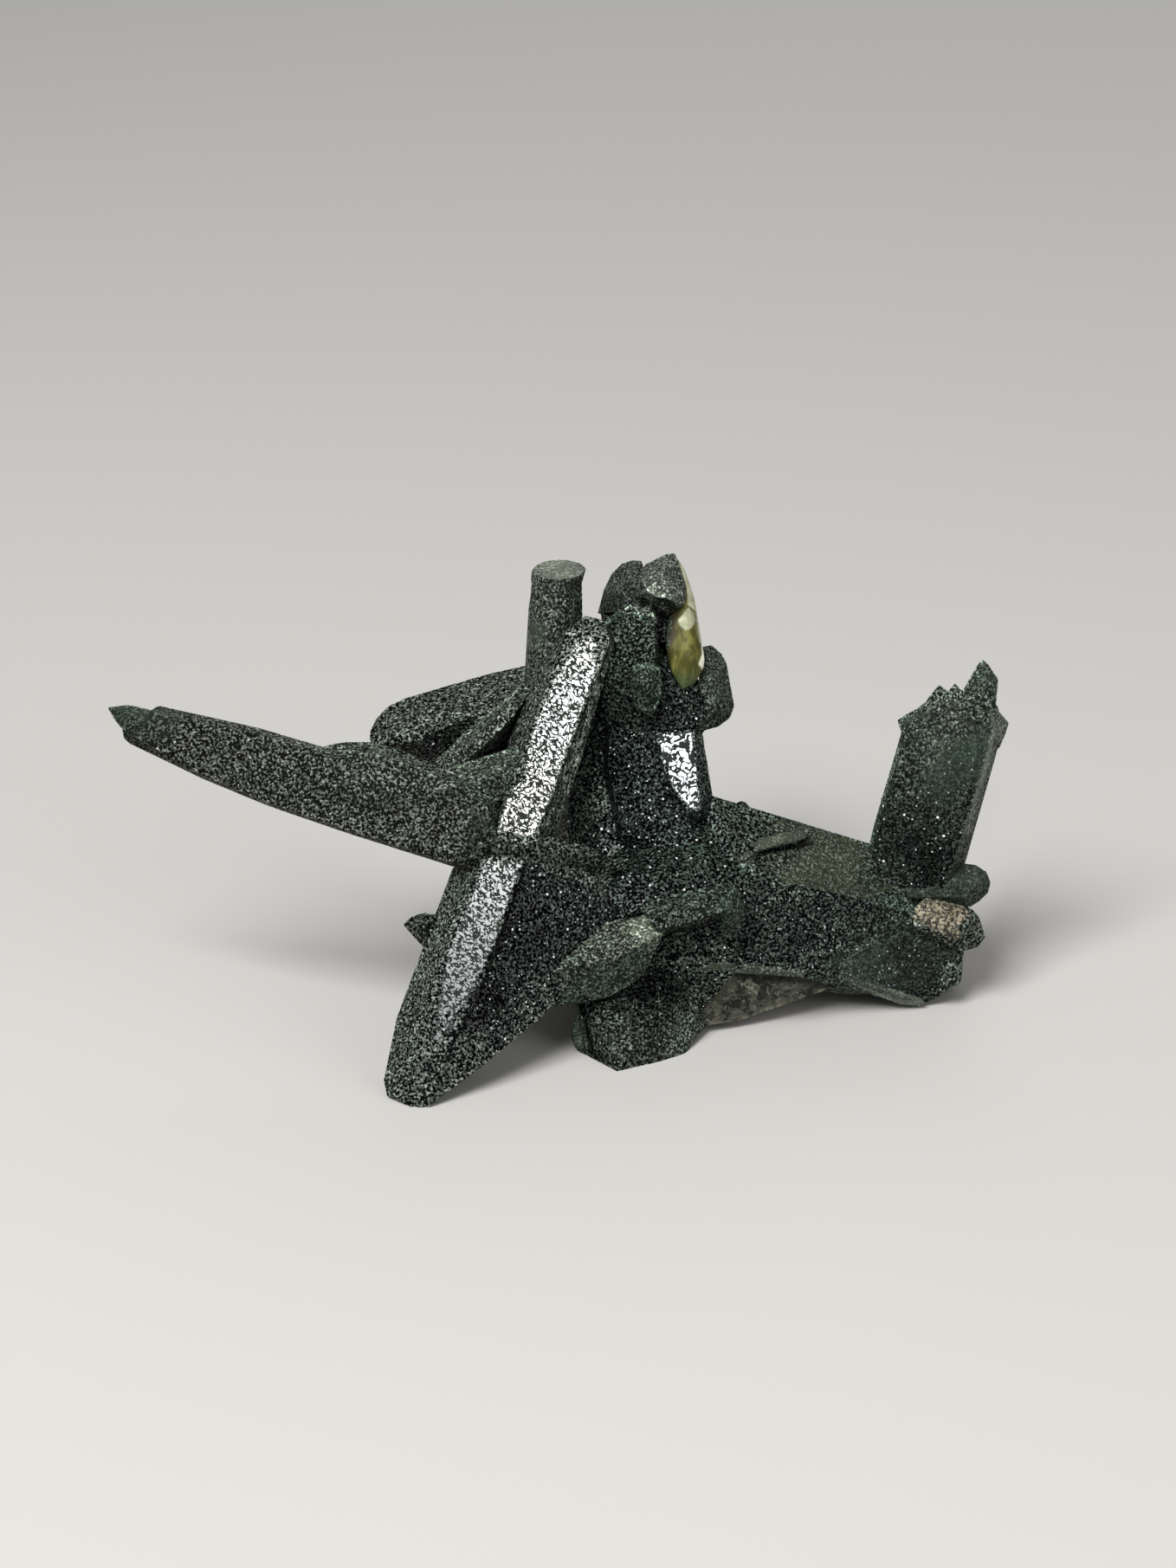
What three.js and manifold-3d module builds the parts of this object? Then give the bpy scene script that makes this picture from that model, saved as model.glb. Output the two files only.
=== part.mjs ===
// A cluster of tabular and prismatic quartz crystals, grown through each other
// and darkened by chlorite. One intergrown solid, in millimetres, +Z up,
// resting on its own crystal ends on the plane z = 0.
//
// Corners are given in a front drawing of the specimen: u to the right and
// v down in drawing units, w in millimetres away from the viewer. The drawing
// looks down on the specimen by TILT, in perspective, from EYE_BACK.
import * as THREE from "three";
import { ConvexGeometry } from "three/addons/geometries/ConvexGeometry.js";
import { mergeVertices } from "three/addons/utils/BufferGeometryUtils.js";
import Module from "manifold-3d";

const TILT = (22 * Math.PI) / 180; // the drawing looks down by this much
const EYE_BACK = 350; // eye to the drawing's plane, w = 0
const UNITS = 4725; // drawing units per unit of slope: 13.5 units are 1 mm at w = 0
const CENTRE_U = 679, CENTRE_V = 905.5; // the drawing's middle
const EYE_UP = 157.6; // height of the eye over the resting plane
const EYE_FRONT = 316.0; // from the eye to the foremost foot, along y
const MIDDLE_X = -2.318, MIDDLE_Y = 24.827; // middle of the base, moved to the origin
const UNIT_MM = 13.5;

// Each crystal: name, the plane its front face lies on as
// [u0, v0, w0, rise of w per mm to the right, rise of w per mm up],
// and its corners as [u, v, distance behind that plane].
const CRYSTALS =
// TABLE-BEGIN
[
["spine_lower", [470,1278,1.0,-0.179,0.274], [
 [558,990,0],[603,994,0],[548,1150,0],[514,1212,0.1],[478,1226,0.1],[500,1145,0],
 [456,1266,1.2],[474,1278,0.9],[494,1278,0.9],[508,1268,1.2],
 [523,1002,3.6],[505,1055,3.5],[480,1118,3.2],[458,1176,2.8],[443,1248,2.0],[447,1266,1.8],
 [560,1229,2.6],[627,1173,5.0],[690,1090,6.5],[726,1004,7.4],[744,1036,8.6],
 [535,1000,11],[480,1130,9],[455,1240,6],[520,1255,6],[620,1170,11],[690,1030,14],[740,1020,12]]],
["spine_upper", [470,1278,1.0,-0.179,0.274], [
 [572,975,0],[577,944,0],[618,975,0],[655,729,0],[703,737,0],[676,711,1.5],[697,716,2.2],
 [556,965,4.5],[592,852,4.5],[604,800,4.5],[640,738,4.0],
 [636,975,5.5],[670,880,5.5],[712,742,5.0],
 [590,975,10],[640,975,11],[650,760,9],[705,760,9]]],
["left_blade", [590,982,4.9,-0.09,0.10], [
 [178,824,0],[300,848,0],[345,866,0],[566,931,0.8],[572,962,0.7],[540,925,0],[545,960,0],
 [156,851,0],[235,896,0],[310,927,0],[400,958,0],[523,997,0],[552,990,0.5],[600,1000,3.4],
 [183,815,1.5],[300,841,1.5],[345,858,1.5],[580,924,2.8],
 [150,859,1.4],[200,883,1.5],[235,900,1.6],[310,931,1.6],[400,962,1.6],[523,1001,1.6],[600,1018,4.0],
 [141,842,1.0],[143,853,1.2],
 [175,840,4.0],[230,858,5.4],[300,880,6.2],[450,920,6.8],[600,980,7.5]]],
["left_blade_upper", [590,982,4.7,-0.09,0.10], [
 [358,867,1.6],[386,859,1.5],[400,857,1.5],[427,857,1.5],[463,866,1.5],[500,882,1.5],[551,908,1.5],[586,925,3.2],
 [380,876,0],[425,871,0],[460,880,0],[530,908,0],[562,930,0.5],
 [400,925,0],[570,968,0.9],
 [400,880,6],[470,890,6.5],[560,930,7]]],
["left_blade_tip", [590,982,4.9,-0.09,0.10], [
 [124,817,1.4],[148,814,1.3],[171,819,1.3],[190,826,1.6],[182,846,0.4],[141,842,0.9],[132,831,1.1],
 [152,826,0.2],[158,832,3.6],[185,850,4]]],
["cross_blade", [590,982,5.15,-0.05,0.05], [
 [540,958,1.0],[577,960,0.9],[640,967,1.2],[688,981,2.4],[716,997,4.0],[723,1007,4.8],
 [556,978,0],[603,981,0],[640,984,1.5],[696,1001,3.5],
 [550,987,0.2],[603,993,0.25],[640,996,1.9],[706,1013,4.8],
 [560,985,6],[640,1000,8],[712,1008,9]]],
["front_blade", [700,1100,0,0,0], [
 [655,1088,8.5],[700,1064,9.0],[746,1056,9.0],[764,1065,8.7],[767,1077,7.6],[722,1102,6.0],[682,1112,5.9],[645,1122,6.3],[633,1110,7.0],
 [743,1125,8.2],[730,1136,8.3],[704,1151,8.4],[663,1161,8.6],[634,1163,7.2],
 [660,1100,15],[740,1070,15],[740,1120,15],[650,1150,14]]],
["front_prism", [700,1100,0,0,0], [
 [738,1049,7.8],[752,1040,8.2],[790,1028,9.2],[844,1018,9.8],[858,1034,8.8],[850,1050,8.0],[819,1068,8.4],[768,1080,8.6],
 [758,1073,7.3],[792,1068,6.7],[826,1056,7.0],
 [760,1050,15],[850,1020,16],[830,1060,15]]],
["front_prism_end", [700,1100,0,0,0], [
 [826,1046,8.0],[848,1024,7.6],[861,1050,8.4],[858,1068,8.8],[845,1087,9.2],[833,1078,9.0],[842,1055,6.7],
 [850,1040,15],[840,1070,15]]],
["core", [700,1000,0,0,0], [
 [660,800,19],[655,960,17],[700,1010,13.5],[770,900,16],[760,1000,12.6],[812,1000,12.2],[817,945,14.5],
 [760,1100,14],[812,1100,13.6],[680,1120,13],[700,740,20],[780,760,19],
 [640,880,29],[700,770,30],[795,800,31],[812,960,32],[812,1080,30],[700,1100,28],[630,1010,26]]],
["core_bridge", [815,1010,0,0,0], [
 [800,962,16.4],[836,962,16.0],[800,1070,12.4],[842,1070,12.4],[800,1020,12.2],[842,1016,12.2],[806,944,18.5],[822,944,18.5],
 [800,958,27],[834,962,27],[800,1090,26],[838,1090,26]]],
["core_underside", [790,1120,0,0,0], [
 [762,1072,11.8],[800,1062,11.4],[836,1062,11.0],[856,1088,11.4],[858,1114,12.0],[830,1130,13.2],[806,1172,14.4],[775,1142,13.2],[736,1108,12.2],
 [766,1074,24],[842,1070,26],[815,1158,24],[780,1152,23]]],
["core_front", [780,990,0,0,0], [
 [704,990,11.6],[697,1028,9.0],[717,1062,8.3],[724,1012,8.8],[746,1042,8.1],[792,1029,9.0],[846,1018,9.8],[806,1004,9.4],[854,972,12.8],[806,946,14.0],[750,960,13.4],
 [710,1000,20],[850,980,20],[800,1030,20]]],
["summit_neck", [740,720,0,0,0], [
 [694,713,17.4],[700,738,15.6],[768,742,15.0],[800,735,16.4],[744,698,16.6],[712,699,18.4],[770,712,15.6],
 [702,706,26],[798,716,24],[780,698,24],[790,762,26],[702,762,27]]],
["inner_crystal", [760,940,12.4,0.02,0.30], [
 [708,800,0],[757,828,0],[766,900,0],[797,950,0],[806,1004,0.2],[760,1016,0.2],[718,965,0],[702,885,0],
 [700,800,3],[692,890,5],[708,975,5],[750,1024,4],[815,1010,4],[806,950,4],[775,890,4],
 [710,830,10],[790,900,10],[780,1000,10]]],
["jagged_crystal", [730,770,11.9,0.03,0.06], [
 [700,726,0.7],[716,711,0.5],[740,710,0.5],[755,719,0.6],[757,755,0.4],[748,800,0.8],[724,806,1.0],[700,790,0.9],
 [694,722,2],[712,706,2],[757,714,2.2],[763,760,2.2],[758,812,2.2],[756,838,2.8],[734,852,3.2],[706,850,3.2],[692,826,2.6],[688,790,2.0],[692,760,1.8],
 [700,726,8],[752,716,8],[757,850,7],[706,852,7]]],
["jagged_tip", [745,795,11.6,0.05,0.04], [
 [731,769,0.2],[746,766,-0.2],[762,771,0.4],[764,804,0.7],[752,828,1.2],[735,820,1.0],[726,793,0.6],[745,790,-0.5],
 [730,768,6],[764,770,6],[752,822,6]]],
["jagged_peak_a", [730,770,12.0,0.03,0.06], [
 [715,716,0.5],[721,703,1.2],[729,698,1.6],[737,705,1.2],[738,722,0.4],[724,700,4],[735,705,4],[726,725,4]]],
["jagged_peak_b", [730,770,12.2,0.03,0.06], [
 [738,716,0.6],[743,703,1.4],[747,702,1.6],[755,708,1.6],[759,722,1.4],[745,730,0.5],[748,706,4],[757,714,4]]],
["summit_left", [720,680,0,0,0], [
 [690,709,18],[697,682,17.5],[706,663,18],[718,651,18.5],[730,647,19],[741,648,19.5],[750,680,15.5],[744,706,15],
 [714,706,15.0],[712,682,15.0],[727,668,15.4],
 [700,700,26],[740,660,27],[745,700,26]]],
["summit_pyramid", [760,680,0,0,0], [
 [745,652,16.5],[757,646,16.2],[769,640,16.4],[779,639,17],[784,650,16.2],[789,670,15],[792,684,14.2],[791,697,14.6],
 [784,709,15.4],[776,716,16],[767,719,16],[748,706,15.4],[735,690,14.6],[739,668,14.6],
 [748,682,12.7],[764,664,13.2],[777,692,12.2],[760,690,12.2],
 [750,660,24],[783,655,25],[788,700,24],[750,705,23]]],
["clear_broken_end", [790,740,0,0,0], [
 [781,641,17.4],[790,655,16.8],[797,675,16.2],[802,691,15.8],[806,716,15.3],[808,742,15.1],[814,762,15.2],[812,773,15.3],
 [801,792,14.8],[788,798,14.4],[775,775,14.2],[768,745,14.2],[776,718,14.2],[789,714,13.9],[800,722,13.9],[799,762,13.4],
 [786,664,16.2],[793,680,15.2],
 [795,690,24],[808,740,23],[810,775,23],[780,790,22]]],
["summit_column", [780,800,0,0,0], [
 [752,735,14.6],[770,770,14.6],[792,796,15.0],[812,802,15.8],[812,846,15.0],[758,850,14.8],[752,800,14.8],
 [756,760,24],[812,790,24],[810,850,23],[760,850,22]]],
["summit_flank", [825,800,0,0,0], [
 [811,747,18],[822,745,19],[833,755,19.4],[839,766,19],[837,785,18],[843,801,18],[848,815,18.4],[843,829,18.2],
 [830,839,17.6],[806,846,16.2],[805,800,15.8],[822,790,15.8],[829,814,15.8],[818,766,16.8],
 [815,755,26],[836,770,26],[842,820,25],[812,838,24]]],
["mirror_faced_crystal", [780,890,12.4,-0.179,0.274], [
 [757,847,0],[801,842,0],[804,880,0],[809,936,0],[795,938,0],[779,914,0],[764,882,0],
 [808,842,1.5],[814,875,1.8],[816,900,2],[823,919,2.2],[818,945,2],
 [752,850,2],[757,887,2.2],[774,927,2.2],[792,952,2],
 [760,850,9],[812,850,9],[820,930,9],[790,950,8]]],
["slab", [950,1050,0,0,0], [
 [822,919,13.4],[812,940,13.0],[808,1010,13.0],[848,927,14.3],[866,933,14.9],[900,945,16.0],[940,957,17.4],[1003,978,19.5],[1090,1000,21],
 [850,1003,10.5],[900,1018,11.1],[1000,1040,14.2],[1056,1056,16.2],[1100,1066,17.6],
 [832,1108,12],[880,1114,12.6],[930,1120,14],[1000,1145,18.2],[1060,1162,20.6],[1085,1151,20.4],[1098,1140,20],[1104,1120,19.6],[1104,1100,19.2],
 [1112,1070,19.2],[1108,1040,20],
 [850,960,27],[980,1000,30],[1090,1030,30],[1095,1110,28],[1050,1135,28],[870,1090,26]]],
["slab_lip_left", [0,0,0,0,0], [
 [802,1122,12.4],[806,1116,12.1],[831,1111,11.7],[882,1118,12.3],[930,1124,13.8],[930,1129,14.0],[882,1125,12.7],[831,1118,12.1],
 [830,1114,14],[900,1123,15.5]]],
["slab_lip_right", [0,0,0,0,0], [
 [948,1122,14.9],[968,1125,15.6],[1003,1137,16.9],[1042,1152,18.6],[1068,1156,19.6],[1066,1162,20.2],[1040,1160,19.6],[1000,1146,18.0],[962,1130,16.2],
 [1000,1142,20.5],[1050,1157,22]]],
["slab_knob", [855,930,15.6,0.1,0.1], [
 [848,929,0],[855,925,0.4],[861,926,0.6],[868,935,0],[858,945,-1.2],[856,935,3],[864,938,3]]],
["slab_rib", [900,970,0,0,0], [
 [861,987,12.0],[868,976,12.3],[884,967,12.6],[908,961,13.3],[934,961,14.8],[929,969,13.9],[905,972,12.7],[884,982,11.7],
 [880,975,18],[930,965,18]]],
["slab_corner", [1100,1120,18.8,0.12,0], [
 [1090,1095,0],[1113,1097,0.6],[1107,1108,0.4],[1106,1120,0.6],[1110,1133,0.8],[1102,1142,0.8],[1084,1138,-0.2],
 [1095,1100,7],[1106,1130,7]]],
["slab_underside", [880,1150,0,0,0], [
 [800,1116,13],[935,1119,15],[967,1139,18],[950,1145,18.6],[900,1160,17.2],[850,1180,16],[815,1184,15],[806,1165,14],
 [850,1100,25],[930,1128,26],[860,1150,25],[820,1150,24]]],
["slab_underside_rib", [980,1140,0,0,0], [
 [935,1122,15.4],[968,1124,15.8],[1010,1143,18.0],[995,1149,19.2],[960,1147,18.8],[940,1140,17.4],
 [960,1130,25],[1000,1140,26]]],
["end_lobe", [1100,1020,0,0,0], [
 [1040,1003,18],[1090,1000,18.5],[1112,997,18.8],[1127,999,19.0],[1139,1007,19.4],[1144,1019,19.6],[1141,1031,19.4],[1131,1041,19.0],[1118,1049,18],
 [1050,1036,16.4],[1100,1016,16.8],[1129,1019,17.4],[1115,1036,16.8],
 [1060,1010,27],[1130,1006,25],[1137,1033,25],[1060,1040,26]]],
["end_broken", [1090,1070,0,0,0], [
 [1047,1056,16.2],[1070,1036,16.6],[1120,1047,18],[1130,1058,18.2],[1133,1070,18.4],[1138,1082,18.6],[1129,1094,18.6],[1110,1099,18.2],
 [1080,1082,16.4],[1055,1071,15.8],[1100,1060,16.2],[1120,1075,16.9],
 [1070,1050,26],[1128,1060,25],[1131,1086,25],[1080,1090,25]]],
["upright", [1080,990,16.2,0.03,-0.16], [
 [1012,985,0.3],[1043,862,0.2],[1050,838,0.4],[1085,812,0.3],[1140,812,0.3],[1147,842,0],[1103,992,0],[1090,1030,0],[1020,1020,0.3],
 [1003,978,1.6],[1010,950,1.6],[1034,873,1.6],[1040,852,1.7],[1046,828,1.8],[1075,806,1.6],
 [1152,815,1.8],[1158,840,2.4],[1148,880,2.4],[1125,940,2.4],[1115,972,2.4],[1111,998,2.4],[1105,1030,2.6],
 [1015,980,5],[1045,850,4.6],[1090,806,4.4],[1148,820,4.6],[1105,1000,6],[1010,1010,6],[1100,1030,7]]],
["upright_shoulder", [1080,990,16.2,0.03,-0.16], [
 [1036,832,2.0],[1046,825,1.7],[1062,817,1.4],[1066,840,0.3],[1044,848,0.9],[1041,846,2.4],[1050,828,4.2],[1060,845,4]]],
["upright_peak_a", [1080,990,16.2,0.03,-0.16], [
 [1064,818,0.5],[1072,806,1.3],[1084,791,1.7],[1090,794,1.6],[1096,800,1.2],[1094,822,0.1],[1082,796,4],[1092,800,4],[1078,820,4.2]]],
["upright_peak_b", [1080,990,16.2,0.03,-0.16], [
 [1092,818,0.4],[1096,797,1.2],[1103,789,1.6],[1110,797,1.3],[1112,818,0.3],[1102,792,3.6],[1109,800,3.8],[1098,815,4]]],
["upright_spike", [1080,990,16.2,0.03,-0.16], [
 [1106,822,0.2],[1111,799,1.0],[1121,782,1.2],[1130,766,1.8],[1135,762,2.0],[1141,767,2.2],[1153,785,2.2],[1151,802,1.8],[1149,826,0.5],[1130,835,-0.3],[1134,792,-0.2],
 [1118,795,4.4],[1136,766,4],[1149,788,4.6],[1130,820,4.6]]],
["upright_edge", [1080,990,16.2,0.03,-0.16], [
 [1146,816,0.7],[1158,829,1.8],[1165,835,2.2],[1161,848,2.3],[1155,862,2.4],[1146,850,0],[1152,820,4.4],[1160,838,4.6],[1148,870,4.8]]],
["lower_chunk", [740,1170,0,0,0], [
 [664,1165,10.4],[674,1150,10.8],[700,1118,12.0],[775,1108,13.2],[812,1150,13.8],[816,1183,15.0],[803,1201,13.6],
 [668,1216,12.2],[681,1219,11.6],[713,1239,8.4],[735,1233,9.2],[762,1226,10.2],[791,1217,11.7],
 [702,1188,8.6],[745,1186,8.8],[692,1162,9.3],[770,1172,10.6],
 [660,1201,12.6],[662,1180,12.8],
 [690,1140,19],[800,1150,20],[682,1168,19],[800,1169,19.5]]],
["lower_chunk_rim", [740,1170,0,0,0], [
 [663,1162,10.0],[668,1158,9.6],[681,1190,9.8],[683,1217,11.0],[671,1217,11.8],[661,1204,11.9],[664,1180,11.4],
 [675,1165,16],[680,1205,16]]],
["side_stub", [490,1075,0,0,0], [
 [465,1068,8.2],[476,1058,8.2],[490,1054,8.6],[508,1057,8],[482,1087,8.2],[496,1101,8],[489,1071,6.8],
 [500,1065,12.5],[500,1092,12.5]]],
["top_prism", [640,720,0,0,0], [
 [605,793,16],[608,797,14.6],[616,800,13.5],[628,802,12.8],[642,803,12.6],[655,800,13],[666,792,14],[674,780,15.5],
 [610.5,700,16.4],[613,677,15.2],[620,673,13.7],[631,670,12.8],[642,669,12.5],[653,670,12.8],[662,671,13.7],[672,671,15.1],[668.5,704,16.2],
 [665,790,18.5],[625,790,19],[625,660,19],[655,658,19]]],
["top_prism_cap", [640,660,0,0,0], [
 [614,659,15.6],[619,664,13.9],[630,668,12.7],[645,669.5,12.2],[660,668,12.6],[671,664,13.7],[677,657,15.2],
 [671,651,17.4],[656,647,18.6],[632,648.5,18.4],[619,653,17.2],
 [613,673,15.8],[620,680,14.2],[632,684,13.1],[650,685,12.9],[664,681,14.0],[673,671,15.0],
 [620,680,19],[665,680,19]]],
["rear_left_blade", [520,830,0,0,0], [
 [427,858,14.6],[427,846,15.2],[435,829,16],[447,817,16.4],[466,807,16.8],[505,798,17.4],[530,788,17.8],[565,778,18.2],[610,768,18.8],
 [440,862,13.6],[480,857,12.8],[510,842,12.8],[552,826,13.4],[618,800,14.2],
 [455,850,13.2],[500,826,14.2],
 [470,882,16.5],[560,885,17.5],[620,850,18.5],
 [460,840,20],[600,795,23],[610,850,23]]],
["slant_prism", [550,840,0,0,0], [
 [499,885,12],[506,875,12.3],[560,827,13],[604,788,13.6],[612,800,12.2],[596,824,11.1],[575,846,10.6],[541,877,10.2],[526,893,10.5],
 [548,853,10.6],[588,815,11.3],
 [520,885,17],[600,800,18],[590,850,17]]],
["slant_blade", [570,890,0,0,0], [
 [519,886,8.9],[545,878,8.8],[577,868,9.0],[616,857,9.6],[620,890,8.2],[600,926,7.0],[558,924,6.8],[526,901,7.4],[572,891,6.5],
 [540,890,13],[610,880,14],[590,910,12]]],
["rear_core", [0,0,0,0,0], [
 [700,842,26],[798,852,26],[809,930,24],[812,1000,24],[800,1090,24],[700,1090,22],[642,960,22],
 [716,852,35],[788,872,37],[802,940,39],[806,990,40],[780,1050,37],[700,1040,36],[664,960,34],[742,950,42],[776,1000,41]]],
["rear_wall", [0,0,0,0,0], [
 [800,960,20],[880,975,22],[960,1000,24],[960,1080,24],[800,1100,20],
 [800,970,38],[852,975,39],[936,1006,38],[940,1050,34],[860,1062,37],[800,1060,36]]]
]
// TABLE-END
;

// Six-sided crystals: name, root [u, v, w], tip [u, v, w], radius in
// millimetres, flatness across, turn about the axis in degrees, cap length in radii.
const PRISMS =
// PRISMS-BEGIN
[
["rear_foot_left", [706,926,22], [634,1066,42], 3.3, 0.82, 10, 1.0],
["rear_foot_right", [826,950,24], [905,1062,42.5], 3.2, 0.8, 35, 1.0],
["rear_upper", [742,900,26], [744,784,40], 3.3, 0.85, 20, 1.2],
["rear_left", [672,940,24], [520,938,36], 2.7, 0.7, 0, 1.4],
["rear_left_small", [640,930,23], [566,952,32], 1.7, 0.8, 25, 1.3],
["rear_right", [905,1010,26], [1052,1024,39], 2.7, 0.72, 8, 1.4],
["rear_middle", [760,960,30], [786,972,47], 3.0, 0.8, 40, 1.1],
["rear_low", [745,1010,28], [724,1046,43], 2.3, 0.85, 15, 1.2],
["rear_spike", [782,880,26], [776,838,37], 1.9, 0.85, 30, 1.6],
["rear_right_small", [868,1000,30], [890,1004,43], 1.9, 0.85, 5, 1.3]
]
// PRISMS-END
;

const sin = Math.sin(TILT), cos = Math.cos(TILT);

// A drawing point as x, y, z in the specimen's frame.
function place(u, v, w) {
  const d = EYE_BACK + w;
  const right = ((u - CENTRE_U) * d) / UNITS, up = ((CENTRE_V - v) * d) / UNITS;
  return new THREE.Vector3(
    right - MIDDLE_X,
    up * sin + d * cos - EYE_FRONT - MIDDLE_Y,
    up * cos - d * sin + EYE_UP,
  );
}

// The convex crystal that spans its corners.
function crystal([, [u0, v0, w0, slopeU, slopeV], corners]) {
  const points = corners.map(([u, v, back]) =>
    place(u, v, w0 + (slopeU * (u - u0)) / UNIT_MM + (slopeV * (v0 - v)) / UNIT_MM + back));
  return new ConvexGeometry(points);
}

// A six-sided prism from root to tip, its cap closing on an off-centre point.
function prism([, root, tip, radius, flat, turn, cap]) {
  const from = place(...root), to = place(...tip);
  const axis = to.clone().sub(from).normalize();
  const side = new THREE.Vector3(0, 0, 1).cross(axis).normalize();
  const over = axis.clone().cross(side);
  const points = [];
  for (let i = 0; i < 6; i++) {
    const a = ((turn + 60 * i) * Math.PI) / 180;
    const out = side.clone().multiplyScalar(radius * Math.cos(a))
      .addScaledVector(over, radius * flat * Math.sin(a));
    const back = cap * radius * (i % 2 ? 0.7 : 1.15);
    points.push(from.clone().addScaledVector(out, 0.94));
    points.push(to.clone().addScaledVector(axis, -back).add(out));
  }
  points.push(to.clone().addScaledVector(side, 0.12 * radius));
  points.push(to.clone().addScaledVector(side, -0.22 * radius).addScaledVector(axis, -0.1 * radius));
  return new ConvexGeometry(points);
}

const wasm = await Module();
wasm.setup();

function solid(geometry) {
  const bare = geometry.clone();
  bare.deleteAttribute("normal");
  bare.deleteAttribute("uv");
  const merged = mergeVertices(bare, 1e-3);
  return new wasm.Manifold(new wasm.Mesh({
    numProp: 3,
    vertProperties: new Float32Array(merged.attributes.position.array),
    triVerts: new Uint32Array(merged.index.array),
  }));
}

function geometryOf(manifold) {
  const m = manifold.getMesh();
  const v = new Float32Array(m.numVert * 3);
  for (let i = 0; i < m.numVert; i++)
    v.set(m.vertProperties.subarray(i * m.numProp, i * m.numProp + 3), i * 3);
  return new THREE.BufferGeometry()
    .setAttribute("position", new THREE.BufferAttribute(v, 3))
    .setIndex(new THREE.BufferAttribute(new Uint32Array(m.triVerts), 1));
}

// Every crystal grows into its neighbours, so they join in one solid.
let cluster = solid(crystal(CRYSTALS[0]));
for (const entry of CRYSTALS.slice(1)) cluster = cluster.add(solid(crystal(entry)));
for (const entry of PRISMS) cluster = cluster.add(solid(prism(entry)));

// The ends it rests on are worn flat, all in the plane z = 0.
const below = new THREE.BoxGeometry(200, 200, 40).translate(0, 0, -20);
cluster = cluster.subtract(solid(below));

const chlorite = new THREE.MeshStandardMaterial({ color: 0x3a423b, roughness: 0.55, metalness: 0 });
const specimen = new THREE.Mesh(geometryOf(cluster), chlorite);
specimen.name = "crystal_cluster";

const group = new THREE.Group();
group.add(specimen);

export default group;
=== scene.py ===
"""A cluster of chloritized quartz crystals on a plain pale floor.

Every crystal is the convex body of its corners, the same corners as the solid
has. They are joined by growth group, skinned with a fine mesh, roughened into
the druse that coats the specimen and sown with separate micro-crystals.
Lengths below are in millimetres until a mesh is made.
"""
import math

import bmesh
import bpy
import numpy as np
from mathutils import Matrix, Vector


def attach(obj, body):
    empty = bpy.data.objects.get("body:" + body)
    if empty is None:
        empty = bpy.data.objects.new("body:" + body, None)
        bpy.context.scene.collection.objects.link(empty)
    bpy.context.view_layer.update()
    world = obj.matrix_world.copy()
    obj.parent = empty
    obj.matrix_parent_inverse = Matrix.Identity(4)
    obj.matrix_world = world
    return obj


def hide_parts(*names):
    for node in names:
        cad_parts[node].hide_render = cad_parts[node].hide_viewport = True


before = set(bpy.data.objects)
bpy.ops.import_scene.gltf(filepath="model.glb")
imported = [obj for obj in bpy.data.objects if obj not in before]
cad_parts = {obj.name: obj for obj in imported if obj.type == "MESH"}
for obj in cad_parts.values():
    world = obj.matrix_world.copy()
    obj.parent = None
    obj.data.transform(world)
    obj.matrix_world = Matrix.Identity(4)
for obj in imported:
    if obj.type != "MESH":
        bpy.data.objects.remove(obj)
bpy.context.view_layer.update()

# ---------------------------------------------------------------- the drawing
TILT = math.radians(22.0)
EYE_BACK, UNITS = 350.0, 4725.0
CENTRE_U, CENTRE_V = 679.0, 905.5
EYE_UP, EYE_FRONT = 157.6, 316.0
MIDDLE_X, MIDDLE_Y = -2.318, 24.827
UNIT_MM = 13.5
SIN, COS = math.sin(TILT), math.cos(TILT)

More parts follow.
